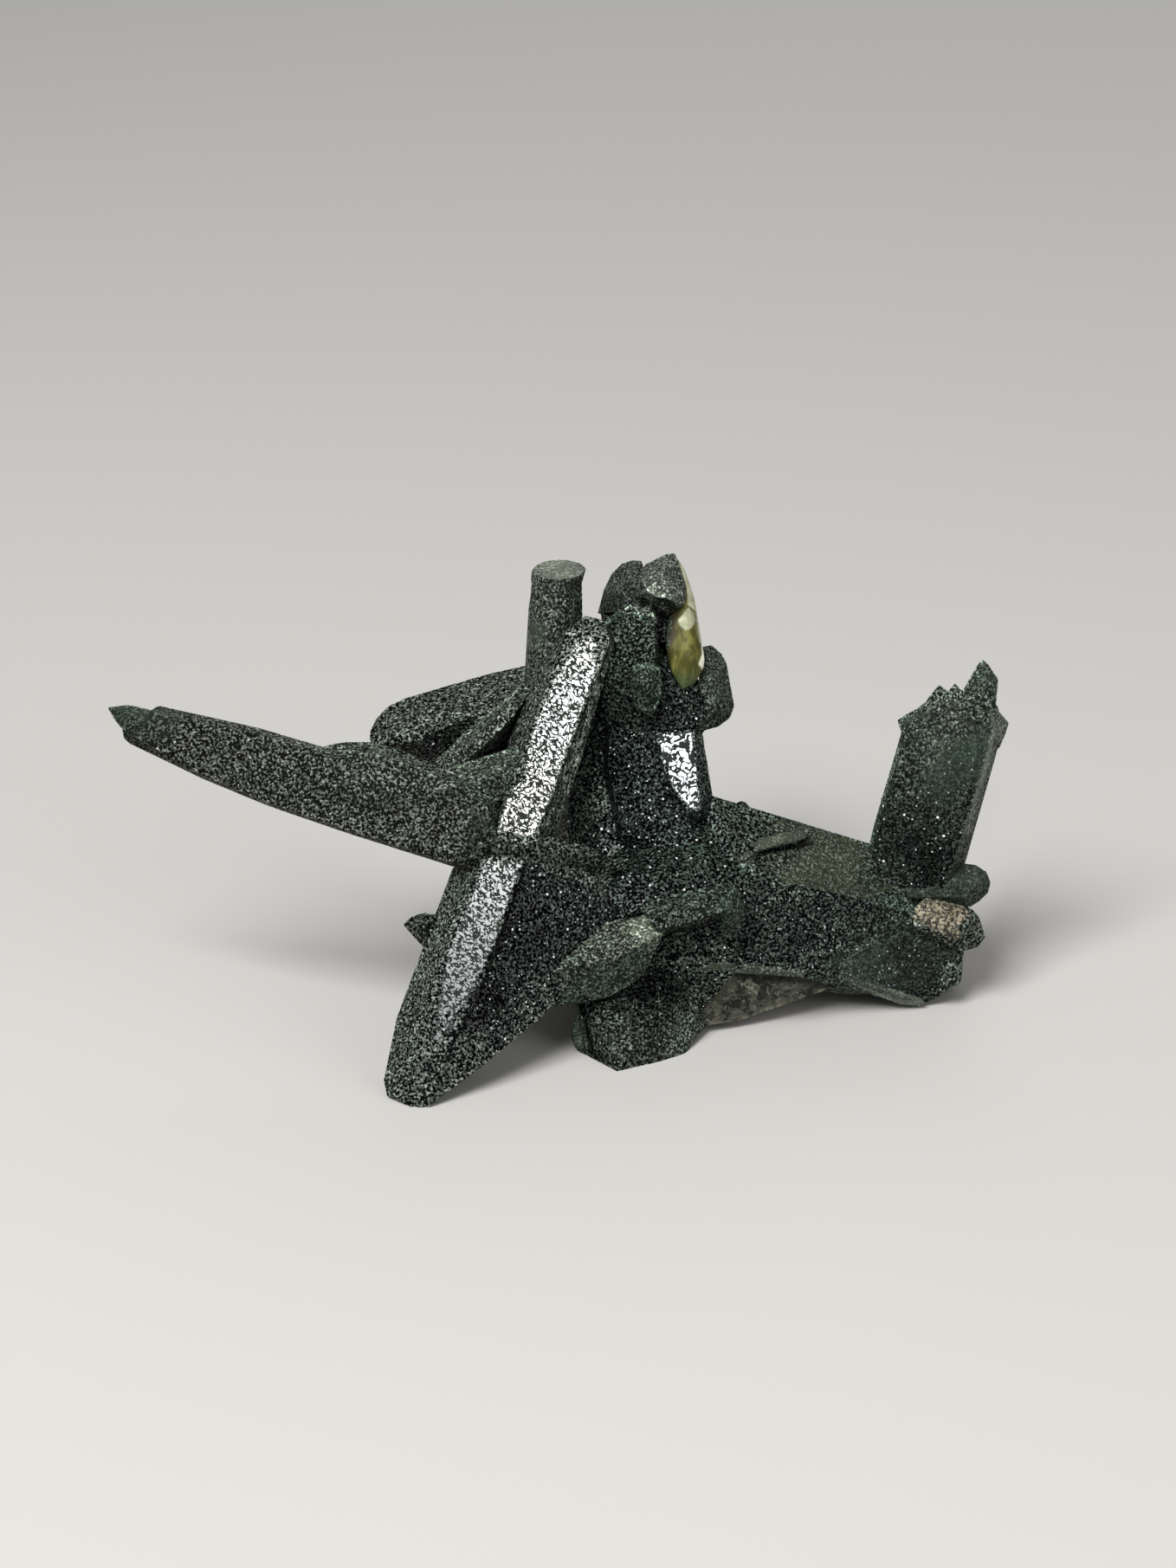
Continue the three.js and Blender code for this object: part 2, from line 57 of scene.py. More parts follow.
# CRYSTALS-BEGIN
CRYSTALS = [
["spine_lower", [470,1278,1.0,-0.179,0.274], [
 [558,990,0],[603,994,0],[548,1150,0],[514,1212,0.1],[478,1226,0.1],[500,1145,0],
 [456,1266,1.2],[474,1278,0.9],[494,1278,0.9],[508,1268,1.2],
 [523,1002,3.6],[505,1055,3.5],[480,1118,3.2],[458,1176,2.8],[443,1248,2.0],[447,1266,1.8],
 [560,1229,2.6],[627,1173,5.0],[690,1090,6.5],[726,1004,7.4],[744,1036,8.6],
 [535,1000,11],[480,1130,9],[455,1240,6],[520,1255,6],[620,1170,11],[690,1030,14],[740,1020,12]]],
["spine_upper", [470,1278,1.0,-0.179,0.274], [
 [572,975,0],[577,944,0],[618,975,0],[655,729,0],[703,737,0],[676,711,1.5],[697,716,2.2],
 [556,965,4.5],[592,852,4.5],[604,800,4.5],[640,738,4.0],
 [636,975,5.5],[670,880,5.5],[712,742,5.0],
 [590,975,10],[640,975,11],[650,760,9],[705,760,9]]],
["left_blade", [590,982,4.9,-0.09,0.10], [
 [178,824,0],[300,848,0],[345,866,0],[566,931,0.8],[572,962,0.7],[540,925,0],[545,960,0],
 [156,851,0],[235,896,0],[310,927,0],[400,958,0],[523,997,0],[552,990,0.5],[600,1000,3.4],
 [183,815,1.5],[300,841,1.5],[345,858,1.5],[580,924,2.8],
 [150,859,1.4],[200,883,1.5],[235,900,1.6],[310,931,1.6],[400,962,1.6],[523,1001,1.6],[600,1018,4.0],
 [141,842,1.0],[143,853,1.2],
 [175,840,4.0],[230,858,5.4],[300,880,6.2],[450,920,6.8],[600,980,7.5]]],
["left_blade_upper", [590,982,4.7,-0.09,0.10], [
 [358,867,1.6],[386,859,1.5],[400,857,1.5],[427,857,1.5],[463,866,1.5],[500,882,1.5],[551,908,1.5],[586,925,3.2],
 [380,876,0],[425,871,0],[460,880,0],[530,908,0],[562,930,0.5],
 [400,925,0],[570,968,0.9],
 [400,880,6],[470,890,6.5],[560,930,7]]],
["left_blade_tip", [590,982,4.9,-0.09,0.10], [
 [124,817,1.4],[148,814,1.3],[171,819,1.3],[190,826,1.6],[182,846,0.4],[141,842,0.9],[132,831,1.1],
 [152,826,0.2],[158,832,3.6],[185,850,4]]],
["cross_blade", [590,982,5.15,-0.05,0.05], [
 [540,958,1.0],[577,960,0.9],[640,967,1.2],[688,981,2.4],[716,997,4.0],[723,1007,4.8],
 [556,978,0],[603,981,0],[640,984,1.5],[696,1001,3.5],
 [550,987,0.2],[603,993,0.25],[640,996,1.9],[706,1013,4.8],
 [560,985,6],[640,1000,8],[712,1008,9]]],
["front_blade", [700,1100,0,0,0], [
 [655,1088,8.5],[700,1064,9.0],[746,1056,9.0],[764,1065,8.7],[767,1077,7.6],[722,1102,6.0],[682,1112,5.9],[645,1122,6.3],[633,1110,7.0],
 [743,1125,8.2],[730,1136,8.3],[704,1151,8.4],[663,1161,8.6],[634,1163,7.2],
 [660,1100,15],[740,1070,15],[740,1120,15],[650,1150,14]]],
["front_prism", [700,1100,0,0,0], [
 [738,1049,7.8],[752,1040,8.2],[790,1028,9.2],[844,1018,9.8],[858,1034,8.8],[850,1050,8.0],[819,1068,8.4],[768,1080,8.6],
 [758,1073,7.3],[792,1068,6.7],[826,1056,7.0],
 [760,1050,15],[850,1020,16],[830,1060,15]]],
["front_prism_end", [700,1100,0,0,0], [
 [826,1046,8.0],[848,1024,7.6],[861,1050,8.4],[858,1068,8.8],[845,1087,9.2],[833,1078,9.0],[842,1055,6.7],
 [850,1040,15],[840,1070,15]]],
["core", [700,1000,0,0,0], [
 [660,800,19],[655,960,17],[700,1010,13.5],[770,900,16],[760,1000,12.6],[812,1000,12.2],[817,945,14.5],
 [760,1100,14],[812,1100,13.6],[680,1120,13],[700,740,20],[780,760,19],
 [640,880,29],[700,770,30],[795,800,31],[812,960,32],[812,1080,30],[700,1100,28],[630,1010,26]]],
["core_bridge", [815,1010,0,0,0], [
 [800,962,16.4],[836,962,16.0],[800,1070,12.4],[842,1070,12.4],[800,1020,12.2],[842,1016,12.2],[806,944,18.5],[822,944,18.5],
 [800,958,27],[834,962,27],[800,1090,26],[838,1090,26]]],
["core_underside", [790,1120,0,0,0], [
 [762,1072,11.8],[800,1062,11.4],[836,1062,11.0],[856,1088,11.4],[858,1114,12.0],[830,1130,13.2],[806,1172,14.4],[775,1142,13.2],[736,1108,12.2],
 [766,1074,24],[842,1070,26],[815,1158,24],[780,1152,23]]],
["core_front", [780,990,0,0,0], [
 [704,990,11.6],[697,1028,9.0],[717,1062,8.3],[724,1012,8.8],[746,1042,8.1],[792,1029,9.0],[846,1018,9.8],[806,1004,9.4],[854,972,12.8],[806,946,14.0],[750,960,13.4],
 [710,1000,20],[850,980,20],[800,1030,20]]],
["summit_neck", [740,720,0,0,0], [
 [694,713,17.4],[700,738,15.6],[768,742,15.0],[800,735,16.4],[744,698,16.6],[712,699,18.4],[770,712,15.6],
 [702,706,26],[798,716,24],[780,698,24],[790,762,26],[702,762,27]]],
["inner_crystal", [760,940,12.4,0.02,0.30], [
 [708,800,0],[757,828,0],[766,900,0],[797,950,0],[806,1004,0.2],[760,1016,0.2],[718,965,0],[702,885,0],
 [700,800,3],[692,890,5],[708,975,5],[750,1024,4],[815,1010,4],[806,950,4],[775,890,4],
 [710,830,10],[790,900,10],[780,1000,10]]],
["jagged_crystal", [730,770,11.9,0.03,0.06], [
 [700,726,0.7],[716,711,0.5],[740,710,0.5],[755,719,0.6],[757,755,0.4],[748,800,0.8],[724,806,1.0],[700,790,0.9],
 [694,722,2],[712,706,2],[757,714,2.2],[763,760,2.2],[758,812,2.2],[756,838,2.8],[734,852,3.2],[706,850,3.2],[692,826,2.6],[688,790,2.0],[692,760,1.8],
 [700,726,8],[752,716,8],[757,850,7],[706,852,7]]],
["jagged_tip", [745,795,11.6,0.05,0.04], [
 [731,769,0.2],[746,766,-0.2],[762,771,0.4],[764,804,0.7],[752,828,1.2],[735,820,1.0],[726,793,0.6],[745,790,-0.5],
 [730,768,6],[764,770,6],[752,822,6]]],
["jagged_peak_a", [730,770,12.0,0.03,0.06], [
 [715,716,0.5],[721,703,1.2],[729,698,1.6],[737,705,1.2],[738,722,0.4],[724,700,4],[735,705,4],[726,725,4]]],
["jagged_peak_b", [730,770,12.2,0.03,0.06], [
 [738,716,0.6],[743,703,1.4],[747,702,1.6],[755,708,1.6],[759,722,1.4],[745,730,0.5],[748,706,4],[757,714,4]]],
["summit_left", [720,680,0,0,0], [
 [690,709,18],[697,682,17.5],[706,663,18],[718,651,18.5],[730,647,19],[741,648,19.5],[750,680,15.5],[744,706,15],
 [714,706,15.0],[712,682,15.0],[727,668,15.4],
 [700,700,26],[740,660,27],[745,700,26]]],
["summit_pyramid", [760,680,0,0,0], [
 [745,652,16.5],[757,646,16.2],[769,640,16.4],[779,639,17],[784,650,16.2],[789,670,15],[792,684,14.2],[791,697,14.6],
 [784,709,15.4],[776,716,16],[767,719,16],[748,706,15.4],[735,690,14.6],[739,668,14.6],
 [748,682,12.7],[764,664,13.2],[777,692,12.2],[760,690,12.2],
 [750,660,24],[783,655,25],[788,700,24],[750,705,23]]],
["clear_broken_end", [790,740,0,0,0], [
 [781,641,17.4],[790,655,16.8],[797,675,16.2],[802,691,15.8],[806,716,15.3],[808,742,15.1],[814,762,15.2],[812,773,15.3],
 [801,792,14.8],[788,798,14.4],[775,775,14.2],[768,745,14.2],[776,718,14.2],[789,714,13.9],[800,722,13.9],[799,762,13.4],
 [786,664,16.2],[793,680,15.2],
 [795,690,24],[808,740,23],[810,775,23],[780,790,22]]],
["summit_column", [780,800,0,0,0], [
 [752,735,14.6],[770,770,14.6],[792,796,15.0],[812,802,15.8],[812,846,15.0],[758,850,14.8],[752,800,14.8],
 [756,760,24],[812,790,24],[810,850,23],[760,850,22]]],
["summit_flank", [825,800,0,0,0], [
 [811,747,18],[822,745,19],[833,755,19.4],[839,766,19],[837,785,18],[843,801,18],[848,815,18.4],[843,829,18.2],
 [830,839,17.6],[806,846,16.2],[805,800,15.8],[822,790,15.8],[829,814,15.8],[818,766,16.8],
 [815,755,26],[836,770,26],[842,820,25],[812,838,24]]],
["mirror_faced_crystal", [780,890,12.4,-0.179,0.274], [
 [757,847,0],[801,842,0],[804,880,0],[809,936,0],[795,938,0],[779,914,0],[764,882,0],
 [808,842,1.5],[814,875,1.8],[816,900,2],[823,919,2.2],[818,945,2],
 [752,850,2],[757,887,2.2],[774,927,2.2],[792,952,2],
 [760,850,9],[812,850,9],[820,930,9],[790,950,8]]],
["slab", [950,1050,0,0,0], [
 [822,919,13.4],[812,940,13.0],[808,1010,13.0],[848,927,14.3],[866,933,14.9],[900,945,16.0],[940,957,17.4],[1003,978,19.5],[1090,1000,21],
 [850,1003,10.5],[900,1018,11.1],[1000,1040,14.2],[1056,1056,16.2],[1100,1066,17.6],
 [832,1108,12],[880,1114,12.6],[930,1120,14],[1000,1145,18.2],[1060,1162,20.6],[1085,1151,20.4],[1098,1140,20],[1104,1120,19.6],[1104,1100,19.2],
 [1112,1070,19.2],[1108,1040,20],
 [850,960,27],[980,1000,30],[1090,1030,30],[1095,1110,28],[1050,1135,28],[870,1090,26]]],
["slab_lip_left", [0,0,0,0,0], [
 [802,1122,12.4],[806,1116,12.1],[831,1111,11.7],[882,1118,12.3],[930,1124,13.8],[930,1129,14.0],[882,1125,12.7],[831,1118,12.1],
 [830,1114,14],[900,1123,15.5]]],
["slab_lip_right", [0,0,0,0,0], [
 [948,1122,14.9],[968,1125,15.6],[1003,1137,16.9],[1042,1152,18.6],[1068,1156,19.6],[1066,1162,20.2],[1040,1160,19.6],[1000,1146,18.0],[962,1130,16.2],
 [1000,1142,20.5],[1050,1157,22]]],
["slab_knob", [855,930,15.6,0.1,0.1], [
 [848,929,0],[855,925,0.4],[861,926,0.6],[868,935,0],[858,945,-1.2],[856,935,3],[864,938,3]]],
["slab_rib", [900,970,0,0,0], [
 [861,987,12.0],[868,976,12.3],[884,967,12.6],[908,961,13.3],[934,961,14.8],[929,969,13.9],[905,972,12.7],[884,982,11.7],
 [880,975,18],[930,965,18]]],
["slab_corner", [1100,1120,18.8,0.12,0], [
 [1090,1095,0],[1113,1097,0.6],[1107,1108,0.4],[1106,1120,0.6],[1110,1133,0.8],[1102,1142,0.8],[1084,1138,-0.2],
 [1095,1100,7],[1106,1130,7]]],
["slab_underside", [880,1150,0,0,0], [
 [800,1116,13],[935,1119,15],[967,1139,18],[950,1145,18.6],[900,1160,17.2],[850,1180,16],[815,1184,15],[806,1165,14],
 [850,1100,25],[930,1128,26],[860,1150,25],[820,1150,24]]],
["slab_underside_rib", [980,1140,0,0,0], [
 [935,1122,15.4],[968,1124,15.8],[1010,1143,18.0],[995,1149,19.2],[960,1147,18.8],[940,1140,17.4],
 [960,1130,25],[1000,1140,26]]],
["end_lobe", [1100,1020,0,0,0], [
 [1040,1003,18],[1090,1000,18.5],[1112,997,18.8],[1127,999,19.0],[1139,1007,19.4],[1144,1019,19.6],[1141,1031,19.4],[1131,1041,19.0],[1118,1049,18],
 [1050,1036,16.4],[1100,1016,16.8],[1129,1019,17.4],[1115,1036,16.8],
 [1060,1010,27],[1130,1006,25],[1137,1033,25],[1060,1040,26]]],
["end_broken", [1090,1070,0,0,0], [
 [1047,1056,16.2],[1070,1036,16.6],[1120,1047,18],[1130,1058,18.2],[1133,1070,18.4],[1138,1082,18.6],[1129,1094,18.6],[1110,1099,18.2],
 [1080,1082,16.4],[1055,1071,15.8],[1100,1060,16.2],[1120,1075,16.9],
 [1070,1050,26],[1128,1060,25],[1131,1086,25],[1080,1090,25]]],
["upright", [1080,990,16.2,0.03,-0.16], [
 [1012,985,0.3],[1043,862,0.2],[1050,838,0.4],[1085,812,0.3],[1140,812,0.3],[1147,842,0],[1103,992,0],[1090,1030,0],[1020,1020,0.3],
 [1003,978,1.6],[1010,950,1.6],[1034,873,1.6],[1040,852,1.7],[1046,828,1.8],[1075,806,1.6],
 [1152,815,1.8],[1158,840,2.4],[1148,880,2.4],[1125,940,2.4],[1115,972,2.4],[1111,998,2.4],[1105,1030,2.6],
 [1015,980,5],[1045,850,4.6],[1090,806,4.4],[1148,820,4.6],[1105,1000,6],[1010,1010,6],[1100,1030,7]]],
["upright_shoulder", [1080,990,16.2,0.03,-0.16], [
 [1036,832,2.0],[1046,825,1.7],[1062,817,1.4],[1066,840,0.3],[1044,848,0.9],[1041,846,2.4],[1050,828,4.2],[1060,845,4]]],
["upright_peak_a", [1080,990,16.2,0.03,-0.16], [
 [1064,818,0.5],[1072,806,1.3],[1084,791,1.7],[1090,794,1.6],[1096,800,1.2],[1094,822,0.1],[1082,796,4],[1092,800,4],[1078,820,4.2]]],
["upright_peak_b", [1080,990,16.2,0.03,-0.16], [
 [1092,818,0.4],[1096,797,1.2],[1103,789,1.6],[1110,797,1.3],[1112,818,0.3],[1102,792,3.6],[1109,800,3.8],[1098,815,4]]],
["upright_spike", [1080,990,16.2,0.03,-0.16], [
 [1106,822,0.2],[1111,799,1.0],[1121,782,1.2],[1130,766,1.8],[1135,762,2.0],[1141,767,2.2],[1153,785,2.2],[1151,802,1.8],[1149,826,0.5],[1130,835,-0.3],[1134,792,-0.2],
 [1118,795,4.4],[1136,766,4],[1149,788,4.6],[1130,820,4.6]]],
["upright_edge", [1080,990,16.2,0.03,-0.16], [
 [1146,816,0.7],[1158,829,1.8],[1165,835,2.2],[1161,848,2.3],[1155,862,2.4],[1146,850,0],[1152,820,4.4],[1160,838,4.6],[1148,870,4.8]]],
["lower_chunk", [740,1170,0,0,0], [
 [664,1165,10.4],[674,1150,10.8],[700,1118,12.0],[775,1108,13.2],[812,1150,13.8],[816,1183,15.0],[803,1201,13.6],
 [668,1216,12.2],[681,1219,11.6],[713,1239,8.4],[735,1233,9.2],[762,1226,10.2],[791,1217,11.7],
 [702,1188,8.6],[745,1186,8.8],[692,1162,9.3],[770,1172,10.6],
 [660,1201,12.6],[662,1180,12.8],
 [690,1140,19],[800,1150,20],[682,1168,19],[800,1169,19.5]]],
["lower_chunk_rim", [740,1170,0,0,0], [
 [663,1162,10.0],[668,1158,9.6],[681,1190,9.8],[683,1217,11.0],[671,1217,11.8],[661,1204,11.9],[664,1180,11.4],
 [675,1165,16],[680,1205,16]]],
["side_stub", [490,1075,0,0,0], [
 [465,1068,8.2],[476,1058,8.2],[490,1054,8.6],[508,1057,8],[482,1087,8.2],[496,1101,8],[489,1071,6.8],
 [500,1065,12.5],[500,1092,12.5]]],
["top_prism", [640,720,0,0,0], [
 [605,793,16],[608,797,14.6],[616,800,13.5],[628,802,12.8],[642,803,12.6],[655,800,13],[666,792,14],[674,780,15.5],
 [610.5,700,16.4],[613,677,15.2],[620,673,13.7],[631,670,12.8],[642,669,12.5],[653,670,12.8],[662,671,13.7],[672,671,15.1],[668.5,704,16.2],
 [665,790,18.5],[625,790,19],[625,660,19],[655,658,19]]],
["top_prism_cap", [640,660,0,0,0], [
 [614,659,15.6],[619,664,13.9],[630,668,12.7],[645,669.5,12.2],[660,668,12.6],[671,664,13.7],[677,657,15.2],
 [671,651,17.4],[656,647,18.6],[632,648.5,18.4],[619,653,17.2],
 [613,673,15.8],[620,680,14.2],[632,684,13.1],[650,685,12.9],[664,681,14.0],[673,671,15.0],
 [620,680,19],[665,680,19]]],
["rear_left_blade", [520,830,0,0,0], [
 [427,858,14.6],[427,846,15.2],[435,829,16],[447,817,16.4],[466,807,16.8],[505,798,17.4],[530,788,17.8],[565,778,18.2],[610,768,18.8],
 [440,862,13.6],[480,857,12.8],[510,842,12.8],[552,826,13.4],[618,800,14.2],
 [455,850,13.2],[500,826,14.2],
 [470,882,16.5],[560,885,17.5],[620,850,18.5],
 [460,840,20],[600,795,23],[610,850,23]]],
["slant_prism", [550,840,0,0,0], [
 [499,885,12],[506,875,12.3],[560,827,13],[604,788,13.6],[612,800,12.2],[596,824,11.1],[575,846,10.6],[541,877,10.2],[526,893,10.5],
 [548,853,10.6],[588,815,11.3],
 [520,885,17],[600,800,18],[590,850,17]]],
["slant_blade", [570,890,0,0,0], [
 [519,886,8.9],[545,878,8.8],[577,868,9.0],[616,857,9.6],[620,890,8.2],[600,926,7.0],[558,924,6.8],[526,901,7.4],[572,891,6.5],
 [540,890,13],[610,880,14],[590,910,12]]],
["rear_core", [0,0,0,0,0], [
 [700,842,26],[798,852,26],[809,930,24],[812,1000,24],[800,1090,24],[700,1090,22],[642,960,22],
 [716,852,35],[788,872,37],[802,940,39],[806,990,40],[780,1050,37],[700,1040,36],[664,960,34],[742,950,42],[776,1000,41]]],
["rear_wall", [0,0,0,0,0], [
 [800,960,20],[880,975,22],[960,1000,24],[960,1080,24],[800,1100,20],
 [800,970,38],[852,975,39],[936,1006,38],[940,1050,34],[860,1062,37],[800,1060,36]]]
]
# CRYSTALS-END

# PRISMS-BEGIN
PRISMS = [
["rear_foot_left", [706,926,22], [634,1066,42], 3.3, 0.82, 10, 1.0],
["rear_foot_right", [826,950,24], [905,1062,42.5], 3.2, 0.8, 35, 1.0],
["rear_upper", [742,900,26], [744,784,40], 3.3, 0.85, 20, 1.2],
["rear_left", [672,940,24], [520,938,36], 2.7, 0.7, 0, 1.4],
["rear_left_small", [640,930,23], [566,952,32], 1.7, 0.8, 25, 1.3],
["rear_right", [905,1010,26], [1052,1024,39], 2.7, 0.72, 8, 1.4],
["rear_middle", [760,960,30], [786,972,47], 3.0, 0.8, 40, 1.1],
["rear_low", [745,1010,28], [724,1046,43], 2.3, 0.85, 15, 1.2],
["rear_spike", [782,880,26], [776,838,37], 1.9, 0.85, 30, 1.6],
["rear_right_small", [868,1000,30], [890,1004,43], 1.9, 0.85, 5, 1.3]
]
# PRISMS-END


def place(u, v, w):
    """Drawing point(s) as x, y, z in millimetres."""
    u, v, w = np.asarray(u, float), np.asarray(v, float), np.asarray(w, float)
    d = EYE_BACK + w
    right, up = (u - CENTRE_U) * d / UNITS, (CENTRE_V - v) * d / UNITS
    return np.stack([right - MIDDLE_X, up * SIN + d * COS - EYE_FRONT - MIDDLE_Y, up * COS - d * SIN + EYE_UP], -1)


def drawn(p):
    """x, y, z as drawing u, v, w: where a point of the specimen lies on its front drawing."""
    x, y, z = p[:, 0] + MIDDLE_X, p[:, 1] + MIDDLE_Y + EYE_FRONT, p[:, 2] - EYE_UP
    d = y * COS - z * SIN
    up = y * SIN + z * COS
    return CENTRE_U + x / d * UNITS, CENTRE_V - up / d * UNITS, d - EYE_BACK


def crystal_points(entry):
    _, (u0, v0, w0, su, sv), corners = entry
    c = np.array(corners, float)
    w = w0 + su * (c[:, 0] - u0) / UNIT_MM + sv * (v0 - c[:, 1]) / UNIT_MM + c[:, 2]
    return place(c[:, 0], c[:, 1], w)


def prism_points(entry):
    _, root, tip, radius, flat, turn, cap = entry
    a, b = place(*root), place(*tip)
    axis = (b - a) / np.linalg.norm(b - a)
    side = np.cross([0, 0, 1.0], axis)
    side /= np.linalg.norm(side)
    over = np.cross(axis, side)
    pts = []
    for i in range(6):
        t = math.radians(turn + 60 * i)
        out = side * radius * math.cos(t) + over * radius * flat * math.sin(t)
        back = cap * radius * (0.7 if i % 2 else 1.15)
        pts += [a + out * 0.94, b - axis * back + out]
    pts += [b + side * 0.12 * radius, b - side * 0.22 * radius - axis * 0.1 * radius]
    return np.array(pts)


POINTS = {e[0]: crystal_points(e) for e in CRYSTALS}
POINTS.update({e[0]: prism_points(e) for e in PRISMS})


# ---------------------------------------------------------------- noise
def _hash(ix, iy, iz, seed):
    h = (ix.astype(np.uint32) * np.uint32(374761393) + iy.astype(np.uint32) * np.uint32(668265263)
         + iz.astype(np.uint32) * np.uint32(2147483647) + np.uint32(seed * 974634777 % 4294967291))
    h = (h ^ (h >> np.uint32(13))) * np.uint32(1274126177)
    return (h ^ (h >> np.uint32(16))).astype(np.float64) / 4294967295.0


def noise(p, size, seed):
    """Smooth noise from -1 to 1 with features about size mm across."""
    q = p / size
    f = np.floor(q)
    t = q - f
    i = f.astype(np.int64) + 4096
    t = t * t * t * (t * (t * 6 - 15) + 10)
    out = 0
    for dx in (0, 1):
        wx = t[:, 0] if dx else 1 - t[:, 0]
        for dy in (0, 1):
            wy = t[:, 1] if dy else 1 - t[:, 1]
            for dz in (0, 1):
                wz = t[:, 2] if dz else 1 - t[:, 2]
                out = out + wx * wy * wz * _hash(i[:, 0] + dx, i[:, 1] + dy, i[:, 2] + dz, seed)
    return out * 2 - 1


# ---------------------------------------------------------------- meshes
def hull(points):
    """Vertices and triangles of the convex body of some points."""
    bm = bmesh.new()
    for p in points:
        bm.verts.new(p)
    res = bmesh.ops.convex_hull(bm, input=bm.verts)
    bmesh.ops.delete(bm, geom=list({v for v in res["geom_interior"] + res["geom_unused"] if isinstance(v, bmesh.types.BMVert) and v.is_valid}), context="VERTS")
    bmesh.ops.triangulate(bm, faces=bm.faces)
    bmesh.ops.recalc_face_normals(bm, faces=bm.faces)
    bm.verts.index_update()
    v = np.array([x.co[:] for x in bm.verts])
    f = np.array([[x.index for x in y.verts] for y in bm.faces])
    bm.free()
    return v, f


HULLS = {name: hull(p) for name, p in POINTS.items()}
PLANES = {}
for name, (v, f) in HULLS.items():
    n = np.cross(v[f[:, 1]] - v[f[:, 0]], v[f[:, 2]] - v[f[:, 0]])
    n /= np.maximum(np.linalg.norm(n, axis=1), 1e-12)[:, None]
    PLANES[name] = n, (n * v[f[:, 0]]).sum(1)


def depth_in(p, names):
    """How deep each point lies in any of the named crystals, negative outside, in mm."""
    best = np.full(len(p), -1e3)
    for name in names:
        n, off = PLANES[name]
        lo, hi = HULLS[name][0].min(0) - 0.01, HULLS[name][0].max(0) + 0.01
        near = np.where(((p > lo) & (p < hi)).all(1))[0]
        if len(near):
            d = (off[None] - p[near] @ n.T).min(1)
            best[near] = np.maximum(best[near], d)
    return best


def skin(names, voxel):
    """The union of the named crystals as one closed fine mesh of quads, in mm."""
    verts, faces, base = [], [], 0
    for name in names:
        v, f = HULLS[name]
        verts.append(v)
        faces.append(f + base)
        base += len(v)
    me = bpy.data.meshes.new("raw")
    me.from_pydata(np.concatenate(verts).tolist(), [], np.concatenate(faces).tolist())
    ob = bpy.data.objects.new("raw", me)
    bpy.context.scene.collection.objects.link(ob)
    mod = ob.modifiers.new("skin", "REMESH")
    mod.mode, mod.voxel_size, mod.use_smooth_shade = "VOXEL", voxel, False
    got = ob.evaluated_get(bpy.context.evaluated_depsgraph_get()).to_mesh()
    v = np.empty(len(got.vertices) * 3)
    got.vertices.foreach_get("co", v)
    q = np.empty(len(got.loops), np.int32)
    got.loops.foreach_get("vertex_index", q)
    tot = np.empty(len(got.polygons), np.int32)
    got.polygons.foreach_get("loop_total", tot)
    assert (tot == 4).all()
    ob.to_mesh_clear()
    bpy.data.objects.remove(ob)
    bpy.data.meshes.remove(me)
    return v.reshape(-1, 3), q.reshape(-1, 4)


def vertex_normals(v, q):
    n = np.cross(v[q[:, 2]] - v[q[:, 0]], v[q[:, 3]] - v[q[:, 1]])
    out = np.zeros_like(v)
    for k in range(4):
        np.add.at(out, q[:, k], n)
    return out / np.maximum(np.linalg.norm(out, axis=1), 1e-12)[:, None]



# ---------------------------------------------------------------- growth groups
# piece: crystals, skin mesh in mm, finish, record slot, grains to the square mm
GROUPS = {
    "spine_crystal": (["spine_lower", "spine_upper", "cross_blade", "side_stub"], 0.18, "crust", "chlorite_crust", 3.0),
    "left_blade_crystal": (["left_blade", "left_blade_upper", "left_blade_tip"], 0.165, "crust", "chlorite_crust", 3.0),
    "rear_left_crystals": (["top_prism", "top_prism_cap", "rear_left_blade", "slant_prism", "slant_blade"],
                                   0.19, "crust", "chlorite_crust", 3.0),
    "summit_crystals": (["jagged_crystal", "jagged_tip", "jagged_peak_a", "jagged_peak_b", "summit_left", "summit_pyramid",
                         "summit_neck", "summit_column", "summit_flank", "inner_crystal"],
                        0.19, "crust", "chlorite_crust", 3.0),
    "mirror_faced_crystal": (["mirror_faced_crystal"], 0.17, "mirror", "bare_facet", 2.0),
    "slab_crystal": (["slab", "slab_lip_left", "slab_lip_right", "slab_knob", "slab_rib", "slab_corner", "slab_underside_rib", "end_lobe"],
                     0.20, "crust", "chlorite_crust", 3.0),
    "slab_glassy_underside": (["slab_underside"], 0.20, "glassy", "smoky_quartz", 0.5),
    "stained_broken_end": (["end_broken"], 0.17, "stained", "iron_stain", 2.5),
    "upright_crystal": (["upright", "upright_shoulder", "upright_peak_a", "upright_peak_b", "upright_spike",
                         "upright_edge"], 0.165, "crust", "chlorite_crust", 2.0),
    "lower_front_crystals": (["front_blade", "front_prism", "front_prism_end", "lower_chunk", "lower_chunk_rim"],
                             0.19, "crust", "chlorite_crust", 3.0),
    "core_crystals": (["core", "core_bridge", "core_front", "core_underside", "rear_core", "rear_wall"],
                      0.30, "crust", "chlorite_crust", 2.0),
    "rear_crystals": ([e[0] for e in PRISMS], 0.32, "crust", "chlorite_crust", 2.0),
}
ALL = list(HULLS)

